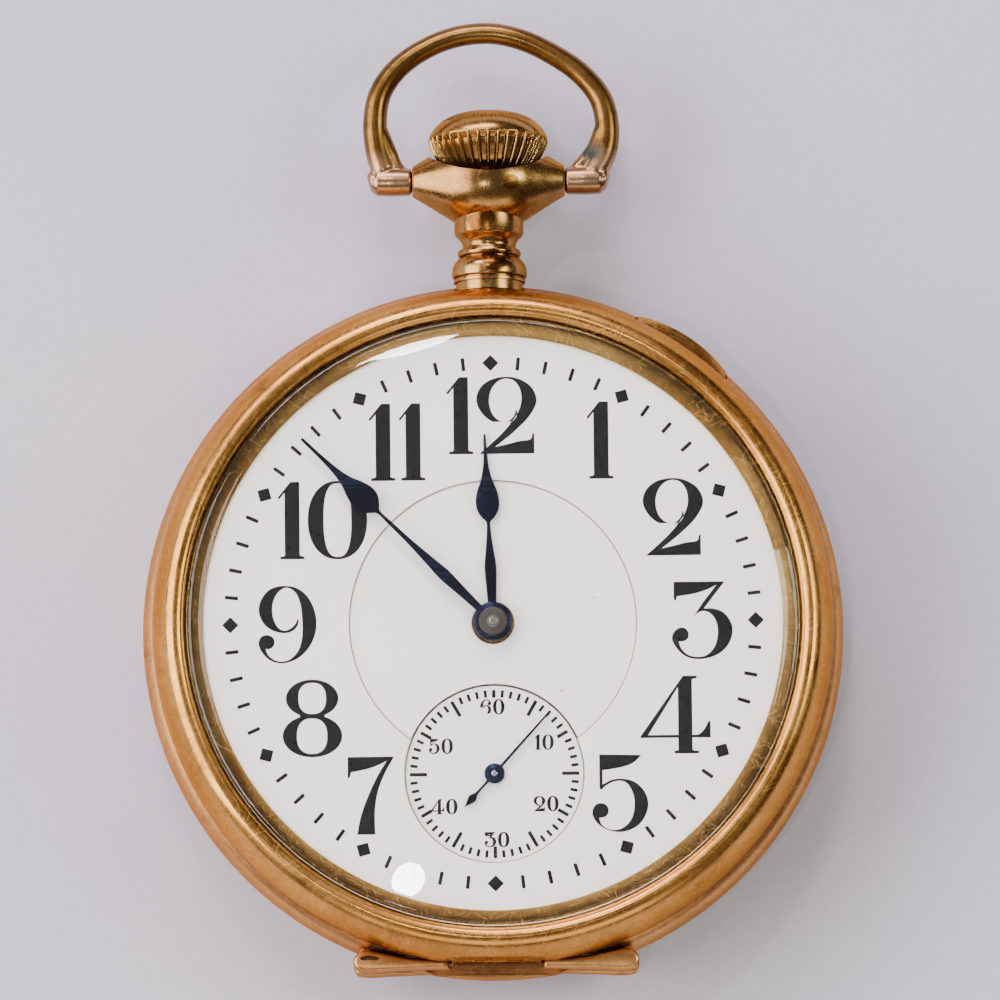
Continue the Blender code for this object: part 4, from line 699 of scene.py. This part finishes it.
def crystal():
    top = [(r, 11.45 + 1.75 * (1 - (r / 21.9) ** 2.3)) for r in [21.9 * k / 24 for k in range(25)]]
    low = [(r, 11.0 + 1.42 * (1 - (r / 21.2) ** 2.3)) for r in [21.2 * k / 22 for k in range(22, -1, -1)]]
    edge = [(22.08, 11.38), (22.16, 11.3), (22.2, 11.2), (22.2, 10.82), (22.15, 10.77), (21.75, 10.77)]
    item = shown("crystal_dome", lathe(top + edge + low, 192), GLASS, "bezel_body", "crystal", "crystal",
                 weighted=False)
    item.data.shade_smooth()

def back_cover():
    outside = spline([(0.0, 0.0, 1), (14.4, 0.0, 1), (15.4, 0.03), (18.0, 0.24), (20.4, 0.60), (22.6, 1.22),
                      (24.0, 1.98), (24.95, 2.85), (25.2, 3.3), (25.12, 3.4, 1)], 8, closed=False)
    inside = spline([(24.15, 3.4, 1), (24.1, 2.75), (23.6, 2.32), (22.4, 1.85), (19.7, 1.08), (15.0, 0.6, 1),
                     (0.0, 0.6, 1)], 6, closed=False)
    lip = [(24.6, 2.97), (25.35, 2.97), (25.48, 3.06), (25.48, 3.24), (25.4, 3.34), (24.6, 3.35)]
    steps = [("DIFFERENCE", box((-NOTCH_HALF, NOTCH_HALF), (-FAR, HINGE_Y + 0.6), (BACK_Z - NOTCH_DEEP, FAR))),
             *leaf(BACK_Z, -1),
             ("UNION", sector_lip(25.1, lip, math.radians(117), math.radians(133)))]
    body = merged(lathe(outside + inside, RIM_STEPS), *steps)
    shown("back_shell", body, GOLD, "back_body", "gold_fill", "back_cover")

def pendant():
    neck = spline([
        (0.0, 24.9, 1), (2.45, 24.9, 1), (2.45, 25.56, 1), (2.62, 25.58, 1), (2.62, 25.78, 1),
        (2.50, 25.84, 1), (2.50, 25.92, 1), (2.70, 25.98),
        (2.74, 26.3), (2.66, 26.8), (2.42, 27.2), (2.26, 27.36, 1), (2.06, 27.40, 1), (2.06, 27.50, 1),
        (2.22, 27.52), (2.32, 27.75), (2.22, 28.0, 1), (2.02, 28.04, 1), (1.95, 28.18), (1.95, 28.4),
        (2.12, 28.75),
        (2.44, 29.08), (2.52, 29.22, 1), (2.52, 31.6, 1), (0.0, 31.6, 1)], 6, closed=False)
    head = spline([
        (0.0, -HEAD_HALF, 1), (1.05, -HEAD_HALF, 1), (1.15, -5.5, 1), (1.72, -4.55), (2.45, -3.4),
        (3.08, -2.35),
        (3.5, -1.2), (3.62, 0.0), (3.5, 1.2), (3.08, 2.35), (2.45, 3.4), (1.72, 4.55), (1.15, 5.5, 1),
        (1.05, HEAD_HALF, 1), (0.0, HEAD_HALF, 1)], 8, closed=False)
    recess = spline([(0.0, 20.0, 1), (1.45, 20.0, 1), (1.45, 32.4, 1), (3.0, 32.62, 1), (3.5, 33.2),
                     (3.95, 34.0),
                     (4.3, 34.7), (4.7, 36.0), (5.2, 40.0, 1), (0.0, 40.0, 1)], 6, closed=False)
    steps = [("UNION", placed(along_x(lathe(head, 144)), 0, PIVOT_Y, STEM_Z)),
             ("DIFFERENCE", at_stem(lathe(recess, 144)))]
    for side in (-1, 1):
        near, far = sorted((side * 4.55, side * 7.0))
        steps.append(("DIFFERENCE", placed(along_x(rod(0.55, near, far)), 0, PIVOT_Y, STEM_Z)))
    body = merged(at_stem(lathe(neck, 144)), *steps)
    shown("pendant_neck", body, GOLD_NECK, "case", "gold_fill", "pendant")

def crown():
    """Onion crown: deep hollows between thin ribs, a smooth dome and a finely milled back edge."""
    ribs, per_rib = 36, 16
    steps = ribs * per_rib
    line = spline([(2.6, 33.75, 1), (3.05, 33.8), (3.5, 34.3), (3.9, 34.95), (4.2, 35.5), (4.35, 36.0),
                   (4.30, 36.45),
                   (4.06, 36.9), (3.62, 37.36), (2.95, 37.8), (2.1, 38.1), (1.1, 38.26),
                   (0.0, 38.3)], 6, closed=False)
    bm = bmesh.new()
    rings = []
    for r, y in line[:-1]:
        low = max(0.0, min(1.0, (36.2 - y) / 0.35)) ** 0.7
        milled = 0.07 if y > 37.2 and 2.0 < r < 3.7 else 0.0
        ring = []
        for k in range(steps):
            angle = TAU * k / steps
            share = abs((k % per_rib) / per_rib - 0.5) * 2
            hollow = 1.0 - min(1.0, max(0.0, (share - 0.58) / 0.30)) ** 1.2
            reach = r - 0.36 * low * hollow * min(1.0, r / 3.4) - milled * (k // 4 % 2)
            ring.append(bm.verts.new((reach * math.sin(angle), y, reach * math.cos(angle))))
        rings.append(ring)
    for one, two in zip(rings, rings[1:]):
        for k in range(steps):
            bm.faces.new((one[k], one[(k + 1) % steps], two[(k + 1) % steps], two[k]))
    tip = bm.verts.new((0, 38.3, 0))
    for k in range(steps):
        bm.faces.new((rings[-1][k], rings[-1][(k + 1) % steps], tip))
    bm.faces.new(rings[0])
    bmesh.ops.recalc_face_normals(bm, faces=bm.faces)
    hub = lathe([(0.0, 31.9), (1.12, 31.9), (1.2, 31.98), (1.2, 34.2), (0.0, 34.2)], 64)
    body = merged(placed(bm, 0, 0, STEM_Z), ("UNION", at_stem(hub)),
                  ("DIFFERENCE", at_stem(rod(0.63, 30, 36.5))))
    shown("crown_onion", body, GOLD_CROWN, "stem_body", "gold_fill", "crown", sharp=70.0, weighted=False)

def wire(path, sizes, around=28):
    """A round wire along a flat line: one (half width, half depth) for each point."""
    rings = []
    for k, ((x, y), (half, deep)) in enumerate(zip(path, sizes)):
        before, after = path[max(0, k - 1)], path[min(len(path) - 1, k + 1)]
        along = Vector((after[0] - before[0], after[1] - before[1], 0)).normalized()
        side = Vector((along.y, -along.x, 0))
        rings.append([Vector((x, y, 0)) + side * half * math.cos(TAU * i / around)
                      + Vector((0, 0, deep * math.sin(TAU * i / around))) for i in range(around)])
    return loft(rings)

def bow():
    """A loop of round wire whose legs flare into two trunnions with tilted, rounded ends."""
    path = spline([(7.75, 0.6), (8.5, 2.1), (8.72, 4.0), (8.25, 6.1), (6.75, 8.0), (4.75, 9.4),
                   (2.6, 10.45), (0.4, 10.96),
                   (-1.9, 10.82), (-4.2, 10.05), (-6.5, 8.5), (-7.85, 6.6), (-8.25, 4.4), (-8.05, 2.3),
                   (-7.6, 0.8)],
                  12, closed=False)
    sizes = []
    for x, y in path:
        share = min(1.0, max(0.0, y) / 10.0)
        sizes.append((0.97 - 0.18 * share, 0.97 - 0.12 * share))
    parts = []
    for side in (-1, 1):
        top = 8.55 if side > 0 else 8.08
        flare = [(top, 3.8), (top - 0.75, 2.2), (6.8, 1.1), (5.98, 0.35)]
        flare = spline([(side * x, y) for x, y in flare], 8, closed=False)
        parts.append(("UNION", wire(flare, [(0.78 - 0.30 * k / len(flare),) * 2 for k in range(len(flare))])))
        profile = [(0.0, 5.3), (0.97, 5.69), (1.0, 5.75), (1.05, 7.0), (1.0, 8.2), (0.0, 8.3)]
        parts.append(("UNION", along_x(lathe([(r, side * x) for r, x in profile], 64))))
        cap = lathe([(0.0, -0.34), (0.60, -0.32), (0.86, -0.12), (0.86, 0.12), (0.60, 0.34), (0.0, 0.38)], 64)
        cap = spun(along_x(cap), side * math.radians(-16), "Z")
        parts.append(("UNION", placed(cap, side * 8.42, -0.02, 0.0)))
    item = raw(merged(wire(path, sizes), *parts))
    remesh = item.modifiers.new("remesh", "REMESH")
    remesh.mode = "VOXEL"
    remesh.voxel_size = 0.08 * MM
    smooth = item.modifiers.new("smooth", "SMOOTH")
    smooth.factor = 0.5
    smooth.iterations = 10
    apply_all(item)
    body = bmesh.new()
    body.from_mesh(item.data)
    body.transform(Matrix.Scale(1 / MM, 4))
    bpy.data.objects.remove(item)
    steps = []
    for side in (-1, 1):
        profile = [(0.0, 4.62), (0.46, 4.62), (0.5, 4.68), (0.5, 6.2), (0.0, 6.2)]
        steps.append(("UNION", along_x(lathe([(r, side * x) for r, x in profile], 40))))
    pit = lathe([(0.0, -0.5), (0.13, -0.45), (0.16, 0.6), (0.0, 0.6)], 24)
    steps.append(("DIFFERENCE", placed(spun(along_x(pit), math.radians(-16), "Z"), 8.75, 0.05, 0.15)))
    body = merged(body, *steps)
    shown("bow_loop_wire", placed(body, 0, PIVOT_Y, STEM_Z), GOLD_BOW, "bow_body", "gold_fill", "bow",
          weighted=False, sharp=60)

# Dial

def sink_outline(big, small):
    """The outline of the sunk centre together with the sunk seconds."""
    reach = -FOURTH[1]
    meet_y = -(big**2 - small**2 + reach**2) / (2 * reach)
    meet_x = math.sqrt(big**2 - meet_y**2)
    start = math.atan2(meet_y, meet_x)
    sweep = math.pi - 2 * start
    low = math.atan2(meet_y + reach, -meet_x)
    turn = TAU - (low - math.atan2(meet_y + reach, meet_x))
    points = [(big * math.cos(start + sweep * k / 120), big * math.sin(start + sweep * k / 120))
              for k in range(121)]
    return points + [(small * math.cos(low + turn * k / 80), -reach + small * math.sin(low + turn * k / 80))
                     for k in range(1, 80)]

def dial():
    ring = plate([circle((0, 0), 21.6, 240), sink_outline(SINK_R, SECONDS_R)], DIAL_LOW, DIAL_TOP, 0.06)
    shown("dial_ring_enamel", ring, ENAMEL, "case", "enamel", "dial_chapter_ring")
    top = DIAL_TOP - SINK
    disc = merged(plate([circle((0, 0), 10.34, 200), circle((0, 0), 1.55, 48)], DIAL_LOW, top, 0.05),
                  ("DIFFERENCE", placed(rod(6.55, 5, 15, 160), *FOURTH)))
    shown("dial_centre_enamel", disc, ENAMEL, "case", "enamel", "dial_centre")
    seconds = plate([circle(FOURTH, 6.42, 160), circle(FOURTH, 0.5, 40)], DIAL_LOW, DIAL_TOP - 2 * SINK, 0.05)
    shown("dial_seconds_enamel", seconds, ENAMEL, "case", "enamel", "dial_seconds")
    seam = metal_paint("seam_shadow", (0.30, 0.26, 0.20), (0.20, 0.17, 0.12), 0.7, metallic=0.0)
    outside = sink_outline(SINK_R - 0.01, SECONDS_R - 0.01)
    inside = sink_outline(SINK_R - 0.07, SECONDS_R - 0.09)
    shown("dial_seam", plate([outside, inside], DIAL_LOW, top - 0.05), seam, "case", "enamel")

# Outlines of the figures in thousandths of an em, baseline at 0. A third item marks a corner.
ONE = [(75, 1000, 1), (190, 1000, 1), (190, 50, 1), (215, 38), (250, 36, 1), (250, 0, 1), (-60, 0, 1),
       (-60, 36, 1), (-25, 38), (0, 50, 1), (0, 860, 1), (-68, 775, 1), (-90, 795, 1)]
TWO = [(383, 1000), (560, 965), (710, 860), (773, 688), (688, 500), (493, 298), (346, 176), (235, 90, 1),
       (400, 128), (550, 165), (663, 178), (700, 200), (712, 261, 1), (737, 261, 1), (737, 2, 1),
       (30, 0, 1), (176, 125), (371, 315), (529, 530), (578, 700), (551, 860), (478, 950), (383, 975),
       (285, 944), (200, 846), (163, 688), (200, 529), (273, 444), (359, 415), (440, 445), (490, 510),
       (503, 566, 1), (523, 566, 1), (515, 490), (456, 420), (349, 388), (212, 415), (78, 519), (0, 688),
       (45, 850), (176, 958)]
THREE = [(36, 1000, 1), (692, 1000, 1), (585, 868, 1), (420, 653, 1), (530, 652), (667, 602), (764, 470),
         (783, 337), (716, 170), (571, 50), (354, 0), (186, 36), (65, 145), (6, 280), (65, 385), (149, 410),
         (214, 360), (214, 277), (161, 234), (94, 229, 1), (118, 155), (190, 70), (310, 30), (430, 44),
         (533, 130), (583, 253), (592, 410), (547, 540), (475, 605), (414, 620), (350, 602), (287, 554, 1),
         (402, 723, 1), (583, 957, 1), (470, 900), (300, 846), (78, 812, 1), (65, 754, 1), (36, 771, 1)]
FOUR = [(550, 1000, 1), (728, 1000, 1), (728, 966, 1), (690, 962), (665, 950, 1), (665, 240, 1), (752, 248),
        (820, 315), (872, 413, 1), (898, 413, 1), (898, 204, 1), (665, 204, 1), (665, 50, 1), (690, 38),
        (745, 36, 1), (745, 0, 1), (434, 0, 1), (434, 36, 1), (470, 38), (485, 50, 1), (485, 204, 1),
        (0, 204, 1), (0, 222, 1)]
FOUR_HOLE = [(100, 240, 1), (485, 240, 1), (485, 855, 1)]
FIVE = [(95, 1000, 1), (633, 988, 1), (530, 890), (408, 841), (242, 810), (135, 796, 1), (135, 612, 1),
        (242, 668), (384, 687), (550, 640), (668, 521), (716, 367), (668, 190), (550, 61), (360, 0),
        (182, 36), (52, 130), (0, 250), (40, 350), (115, 375), (190, 340), (208, 260), (165, 200),
        (88, 185, 1), (115, 105), (206, 40), (336, 34), (455, 107), (521, 225), (540, 391), (507, 533),
        (443, 628), (360, 660), (254, 640), (165, 590), (122, 545, 1), (95, 560, 1)]
SEVEN = [(12, 1000, 1), (607, 1000, 1), (495, 805), (400, 567), (355, 305), (357, 0, 1), (126, 0, 1),
         (174, 233), (269, 495), (400, 769), (510, 945, 1), (388, 886), (221, 834), (55, 803, 1),
         (36, 729, 1), (12, 729, 1)]
NINE = [(357, 1000), (498, 969), (638, 852), (721, 676), (744, 523), (721, 359), (650, 210), (545, 95),
        (427, 28), (286, 0), (146, 42), (40, 148), (0, 264), (35, 345), (110, 368), (185, 335), (206, 265),
        (175, 205), (122, 184), (92, 190, 1), (125, 108), (204, 45), (298, 24), (404, 54), (498, 148),
        (545, 265), (565, 430), (558, 594), (540, 758), (486, 899), (415, 962), (345, 974), (251, 911),
        (192, 793), (178, 676), (204, 547), (263, 453), (335, 422), (420, 455), (480, 520), (497, 570, 1),
        (520, 562, 1), (498, 478), (427, 412), (322, 390), (169, 430), (63, 523), (6, 676), (40, 827),
        (130, 942), (239, 990)]

def oval(cx, cy, half_x, half_y, power=2.3, steps=72):
    points = []
    for k in range(steps):
        a = TAU * k / steps
        c, s = math.cos(a), math.sin(a)
        points.append((cx + half_x * math.copysign(abs(c) ** (2 / power), c),
                       cy + half_y * math.copysign(abs(s) ** (2 / power), s)))
    return points

def eight_outline():
    right = []
    for k in range(73):
        y = 0.5 + 0.5 * math.cos(math.pi * k / 72)
        upper = 1 - ((y - 0.757) / 0.243) ** 2
        lower = 1 - ((y - 0.273) / 0.273) ** 2
        right.append((max(0.335 * math.sqrt(max(0, upper)), 0.38 * math.sqrt(max(0, lower))), y))
    body = [(0.38 + w, y) for w, y in right]
    return body + [(0.38 - w, y) for w, y in right[-2:0:-1]]

def glyph(mark):
    """Outline, holes and advance width of a figure."""
    if mark == "0":
        return [oval(0.38, 0.5, 0.38, 0.507, 2.15), oval(0.38, 0.5, 0.177, 0.475, 2.6)], 0.76
    if mark == "8":
        holes = [oval(0.38, 0.758, 0.176, 0.2, 2.4), oval(0.375, 0.272, 0.193, 0.228, 2.4)]
        return [eight_outline(), *holes], 0.76
    shapes = {"1": ([ONE], 0.19), "2": ([TWO], 0.773), "3": ([THREE], 0.785), "4": ([FOUR, FOUR_HOLE], 0.9),
              "5": ([FIVE], 0.716), "6": ([NINE], 0.744), "7": ([SEVEN], 0.607), "9": ([NINE], 0.744)}
    loops, width = shapes[mark]
    loops = [spline([(x / 1000, y / 1000, *corner) for x, y, *corner in loop], 5) for loop in loops]
    if mark == "6":
        loops = [[(width - x, 1 - y) for x, y in loop] for loop in loops]
    return loops, width

def figures(text, centre, height, level, gap=0.07, slim=1.0, bold=0.0):
    """Upright figures centred on a point."""
    placed_loops = []
    pen = 0.0
    for mark in text:
        loops, width = glyph(mark)
        lead = 0.09 if mark == "1" else 0.0
        pen += lead
        placed_loops.append((pen, loops))
        pen += width + gap + (0.06 if mark == "1" else 0.0)
    total = pen - gap - (0.06 if text[-1] == "1" else 0.0)
    parts = []
    for offset, loops in placed_loops:
        moved = []
        for index, loop in enumerate(loops):
            loop = loop if (area_of(loop) > 0) == (index == 0) else loop[::-1]
            loop = inset(loop, -bold) if bold else loop
            moved.append([(centre[0] + (offset + x - total / 2) * height * slim,
                           centre[1] + (y - 0.5) * height) for x, y in loop])
        parts.append(plate(moved, level, level + PRINT))
    return parts

def bar(angle, inner, outer, width, level, centre=(0.0, 0.0)):
    """A radial tick with rounded ends."""
    half = width / 2
    steps = 5
    loop = []
    for end, sign in ((outer, 1), (inner, -1)):
        for k in range(steps + 1):
            a = math.pi * k / steps
            loop.append((half * math.cos(a) * sign, end + sign * 0.35 * half * math.sin(a)))
    return plate([turn_loop(loop, -angle, centre)], level, level + PRINT)

def printing():
    """Figures and tracks of the dial, fired on as a thin black layer."""
    level = DIAL_TOP
    places = {"12": (0.05, 15.15), "1": (7.70, 13.26), "2": (13.11, 7.60), "3": (15.1, 0.0),
              "4": (13.10, -6.86), "5": (9.05, -12.53), "7": (-8.95, -12.53), "8": (-13.12, -6.86),
              "9": (-14.86, 0.0), "10": (-12.27, 7.60), "11": (-7.0, 13.26)}
    parts = []
    for text, centre in places.items():
        parts += figures(text, centre, FIGURE_SIZE, level, 0.045 if len(text) > 1 else 0.07)
    side = 0.60
    diamond = [(0, TRACK_R + side), (side, TRACK_R), (0, TRACK_R - side), (-side, TRACK_R)]
    for minute in range(60):
        angle = TAU * minute / 60
        if minute % 5:
            parts.append(bar(angle, TRACK_R - 0.44, TRACK_R + 0.44, 0.27, level))
        else:
            parts.append(plate([turn_loop(diamond, -angle)], level, level + PRINT))
    shown("dial_printing", joined(*parts), INK, "case", "enamel", weighted=False)
    level = DIAL_TOP - 2 * SINK
    parts = []
    for second in range(60):
        length = 1.18 if second % 10 == 5 else 0.47 if second % 5 else 0.78 if second else 0.5
        width = 0.22 if second % 5 else 0.26
        parts.append(bar(TAU * second / 60, SECONDS_TRACK_R - length, SECONDS_TRACK_R, width, level, FOURTH))
    for text, x, y in (("60", -0.12, 4.88), ("10", 3.62, 2.28), ("20", 3.7, -2.2), ("30", 0.12, -4.78),
                       ("40", -3.66, -2.35), ("50", -3.86, 2.05)):
        parts += figures(text, (x, FOURTH[1] + y), SMALL_FIGURE_SIZE, level, 0.16, 0.97, 0.026)
    shown("seconds_printing", joined(*parts), INK, "case", "enamel", weighted=False)

# Hands

def blade(stations, low, high, steps=6):
    """A hand's arm along +Y with a domed top: (distance, half width) stations, smoothly joined."""
    line = spline(stations, steps, closed=False)
    rings = []
    for y, w in line:
        w = max(w, 0.03)
        edge = min(0.4 * (high - low), 0.5 * w)
        rings.append([(-w, y, low), (w, y, low), (w, y, high - edge), (w - 0.5 * edge, y, high - 0.3 * edge),
                      (0.45 * w, y, high), (0, y, high), (-0.45 * w, y, high),
                      (-w + 0.5 * edge, y, high - 0.3 * edge), (-w, y, high - edge)])
    return loft(rings)

def hand(name, node, body, level, hub, bore, angle, stations, tail=None, at=(0.0, 0.0)):
    low, high = level
    hub_line = [(bore, low), (hub - 0.04, low), (hub, low + 0.03), (hub, high - 0.03), (hub - 0.04, high),
                (bore + 0.03, high), (bore, high - 0.03)]
    steps = [("UNION", blade(stations, low + 0.005, high - 0.005))]
    if tail:
        steps.append(("UNION", spun(blade(tail, low + 0.005, high - 0.005), math.pi)))
    steps.append(("DIFFERENCE", rod(bore, low - 1, high + 1, 72)))
    bm = merged(lathe(hub_line, 72), *steps)
    shown(name, placed(spun(bm, math.radians(angle)), *at), BLUED, body, "blued_steel", node, sharp=40)

def hands():
    hour = [(1.1, 0.30), (2.4, 0.36), (4.0, 0.43), (5.2, 0.30), (6.6, 0.16), (7.35, 0.17), (7.6, 0.42),
            (8.15, 0.76), (8.8, 0.86),
            (9.6, 0.72), (10.4, 0.42), (11.3, 0.22), (12.4, 0.14), (13.75, 0.09)]
    minute = [(1.1, 0.26), (3.0, 0.34), (4.9, 0.44), (6.3, 0.34), (8.2, 0.21), (10.4, 0.15),
              (11.55, 0.16), (11.85, 0.45),
              (12.4, 0.86), (13.1, 0.97), (13.9, 0.78), (14.8, 0.44), (15.9, 0.24), (17.4, 0.15),
              (19.25, 0.11)]
    hand("hour_hand_blued", "hour_hand", "hour_body", (10.2, 10.35), 1.38, 0.72, 2.0, hour)
    hand("minute_hand_blued", "minute_hand", "centre_body", (10.62, 10.77), 1.40, 0.47, 45.5, minute)
    second = [(0.55, 0.10), (2.5, 0.095), (5.2, 0.07), (5.9, 0.06)]
    tail = [(0.5, 0.11), (1.9, 0.11), (2.15, 0.2), (2.4, 0.30), (2.7, 0.22), (3.0, 0.1), (3.25, 0.04)]
    hand("second_hand_blued", "second_hand", "fourth_body", (9.93, 10.05), 0.74, 0.14, -42.0, second,
         tail, FOURTH)

def hand_centre():
    """The cannon pinion's top with the centre arbor's end in it."""
    line = [(0.33, 8.4), (0.6, 8.4), (0.6, 10.52), (0.44, 10.55), (0.44, 10.78), (0.46, 10.8),
            (0.46, 10.96), (0.42, 11.0),
            (0.33, 11.0)]
    shown("cannon_top", lathe(line, 64), STEEL, "centre_body", "steel")
    # a domed washer on the minute hand's hub, ground dull
    cap = spline([(0.47, 10.78, 1), (1.03, 10.78, 1), (1.03, 10.83), (0.98, 10.88), (0.6, 10.92, 1),
                  (0.47, 10.92, 1)], 4)
    shown("hand_hub_cap", lathe(cap, 72), DULL, "centre_body", "steel")
    tip = spline([(0.0, 10.9, 1), (0.29, 10.9, 1), (0.29, 11.14), (0.24, 11.2), (0.0, 11.2)], 4, closed=False)
    shown("centre_arbor_end", lathe(tip, 48), STEEL, "centre_body", "steel")
    cap = spline([(0.0, 10.05, 1), (0.22, 10.05, 1), (0.2, 10.1), (0.12, 10.13),
                  (0.0, 10.14)], 4, closed=False)
    shown("seconds_pivot_end", placed(lathe(cap, 32), *FOURTH), STEEL, "fourth_body", "steel")

# Build

def carried(materials):
    """CAD nodes that keep their shape get the fuller materials."""
    slots = {entry["node"]: entry["material_slot"] for entry in frame["record"]["subparts"]}
    for name, item in frame["nodes"].items():
        if item.hide_render:
            continue
        item.data.materials.clear()
        item.data.materials.append(materials[slots[name]])

case_centre()
pins()
bezel()
crystal()
back_cover()
pendant()
crown()
bow()
dial()
printing()
hands()
hand_centre()
carried({"gold_fill": GOLD, "enamel": ENAMEL, "blued_steel": BLUED, "nickel": NICKEL, "gilt_brass": GILT,
         "steel": STEEL, "ruby": RUBY, "crystal": GLASS})

# Floor, light and camera

def floor():
    p = Paint("pale_paper", (0.57, 0.55, 0.68), 0.0, 0.85)
    cloud = p.noise(14.0, 4.0, 0.6)
    fibre = p.noise(1500.0, 3.0, 0.6)
    p.colour(p.mix(1.0, p.ramp(cloud, (0.35, (0.545, 0.53, 0.655)), (0.65, (0.62, 0.595, 0.70))),
                   p.ramp(fibre, (0.35, 0.95), (0.65, 1.0)), "MULTIPLY"))
    p.bump(fibre, 0.25, 0.06)
    mesh = bpy.data.meshes.new("paper_floor")
    bm = bmesh.new()
    bmesh.ops.create_grid(bm, x_segments=1, y_segments=1, size=0.9)
    bm.to_mesh(mesh)
    bm.free()
    item = bpy.data.objects.new("paper_floor", mesh)
    item.location = (0, 0, -0.00002)
    mesh.materials.append(p.material)
    bpy.context.scene.collection.objects.link(item)

def lamp(name, place, size, power, colour, shape="RECTANGLE"):
    """A soft area light that faces the watch."""
    target = Vector((0, 0.008, 0.006))
    light = bpy.data.lights.new(name, "AREA")
    light.shape = shape
    light.size, light.size_y = size
    light.energy = power
    light.color = colour
    item = bpy.data.objects.new(name, light)
    item.location = place
    item.rotation_euler = (target - Vector(place)).to_track_quat("-Z", "Y").to_euler()
    bpy.context.scene.collection.objects.link(item)
    return item

def sky():
    world = bpy.data.worlds.new("studio")
    bpy.context.scene.world = world
    world.use_nodes = True
    tree = world.node_tree
    back = tree.nodes["Background"]
    place = tree.nodes.new("ShaderNodeTexCoord")
    split = tree.nodes.new("ShaderNodeSeparateXYZ")
    tree.links.new(place.outputs["Generated"], split.inputs[0])
    ramp = tree.nodes.new("ShaderNodeValToRGB")
    stops = ((0.0, (0.10, 0.075, 0.05)), (0.25, (0.16, 0.125, 0.08)), (0.55, (0.42, 0.36, 0.30)),
             (1.0, (0.62, 0.58, 0.58)))
    while len(ramp.color_ramp.elements) < len(stops):
        ramp.color_ramp.elements.new(0.5)
    for element, (position, colour) in zip(ramp.color_ramp.elements, stops):
        element.position = position
        element.color = (*colour, 1.0)
    tree.links.new(split.outputs[2], ramp.inputs["Fac"])
    tree.links.new(ramp.outputs["Color"], back.inputs["Color"])
    back.inputs["Strength"].default_value = 0.34

def camera():
    data = bpy.data.cameras.new("camera")
    data.lens = 520
    data.sensor_width = 36
    data.clip_start = 0.01
    item = bpy.data.objects.new("camera", data)
    bpy.context.scene.collection.objects.link(item)
    tilt = math.radians(8.5)
    distance = 0.07257 / 36 * data.lens
    target = Vector((0.0006, 0.0090, 0.0100))
    item.location = target + distance * Vector((0, -math.sin(tilt), math.cos(tilt)))
    roll = math.radians(-0.6)
    item.rotation_euler = (Matrix.Rotation(tilt, 3, "X") @ Matrix.Rotation(roll, 3, "Z")).to_euler()
    bpy.context.scene.camera = item

floor()
sky()
camera()
lamp("window_left", (-0.62, 0.02, 0.42), (0.75, 0.62), 11.0, (1.0, 0.95, 0.93))
lamp("window_top", (-0.16, 0.58, 0.40), (0.6, 0.26), 5.5, (1.0, 0.84, 0.93))
lamp("window_right", (0.52, 0.10, 0.52), (0.24, 0.30), 2.2, (0.95, 1.0, 0.84))
lamp("room_below", (0.02, -0.60, 0.30), (0.8, 0.25), 1.6, (1.0, 0.92, 0.84))
lamp("ceiling", (-0.078, 0.352, 0.62), (0.10, 0.030), 0.7, (1.0, 1.0, 1.0), "ELLIPSE")
lamp("near_camera", (-0.078, -0.140, 0.66), (0.028, 0.040), 0.45, (1.0, 1.0, 0.98), "ELLIPSE")
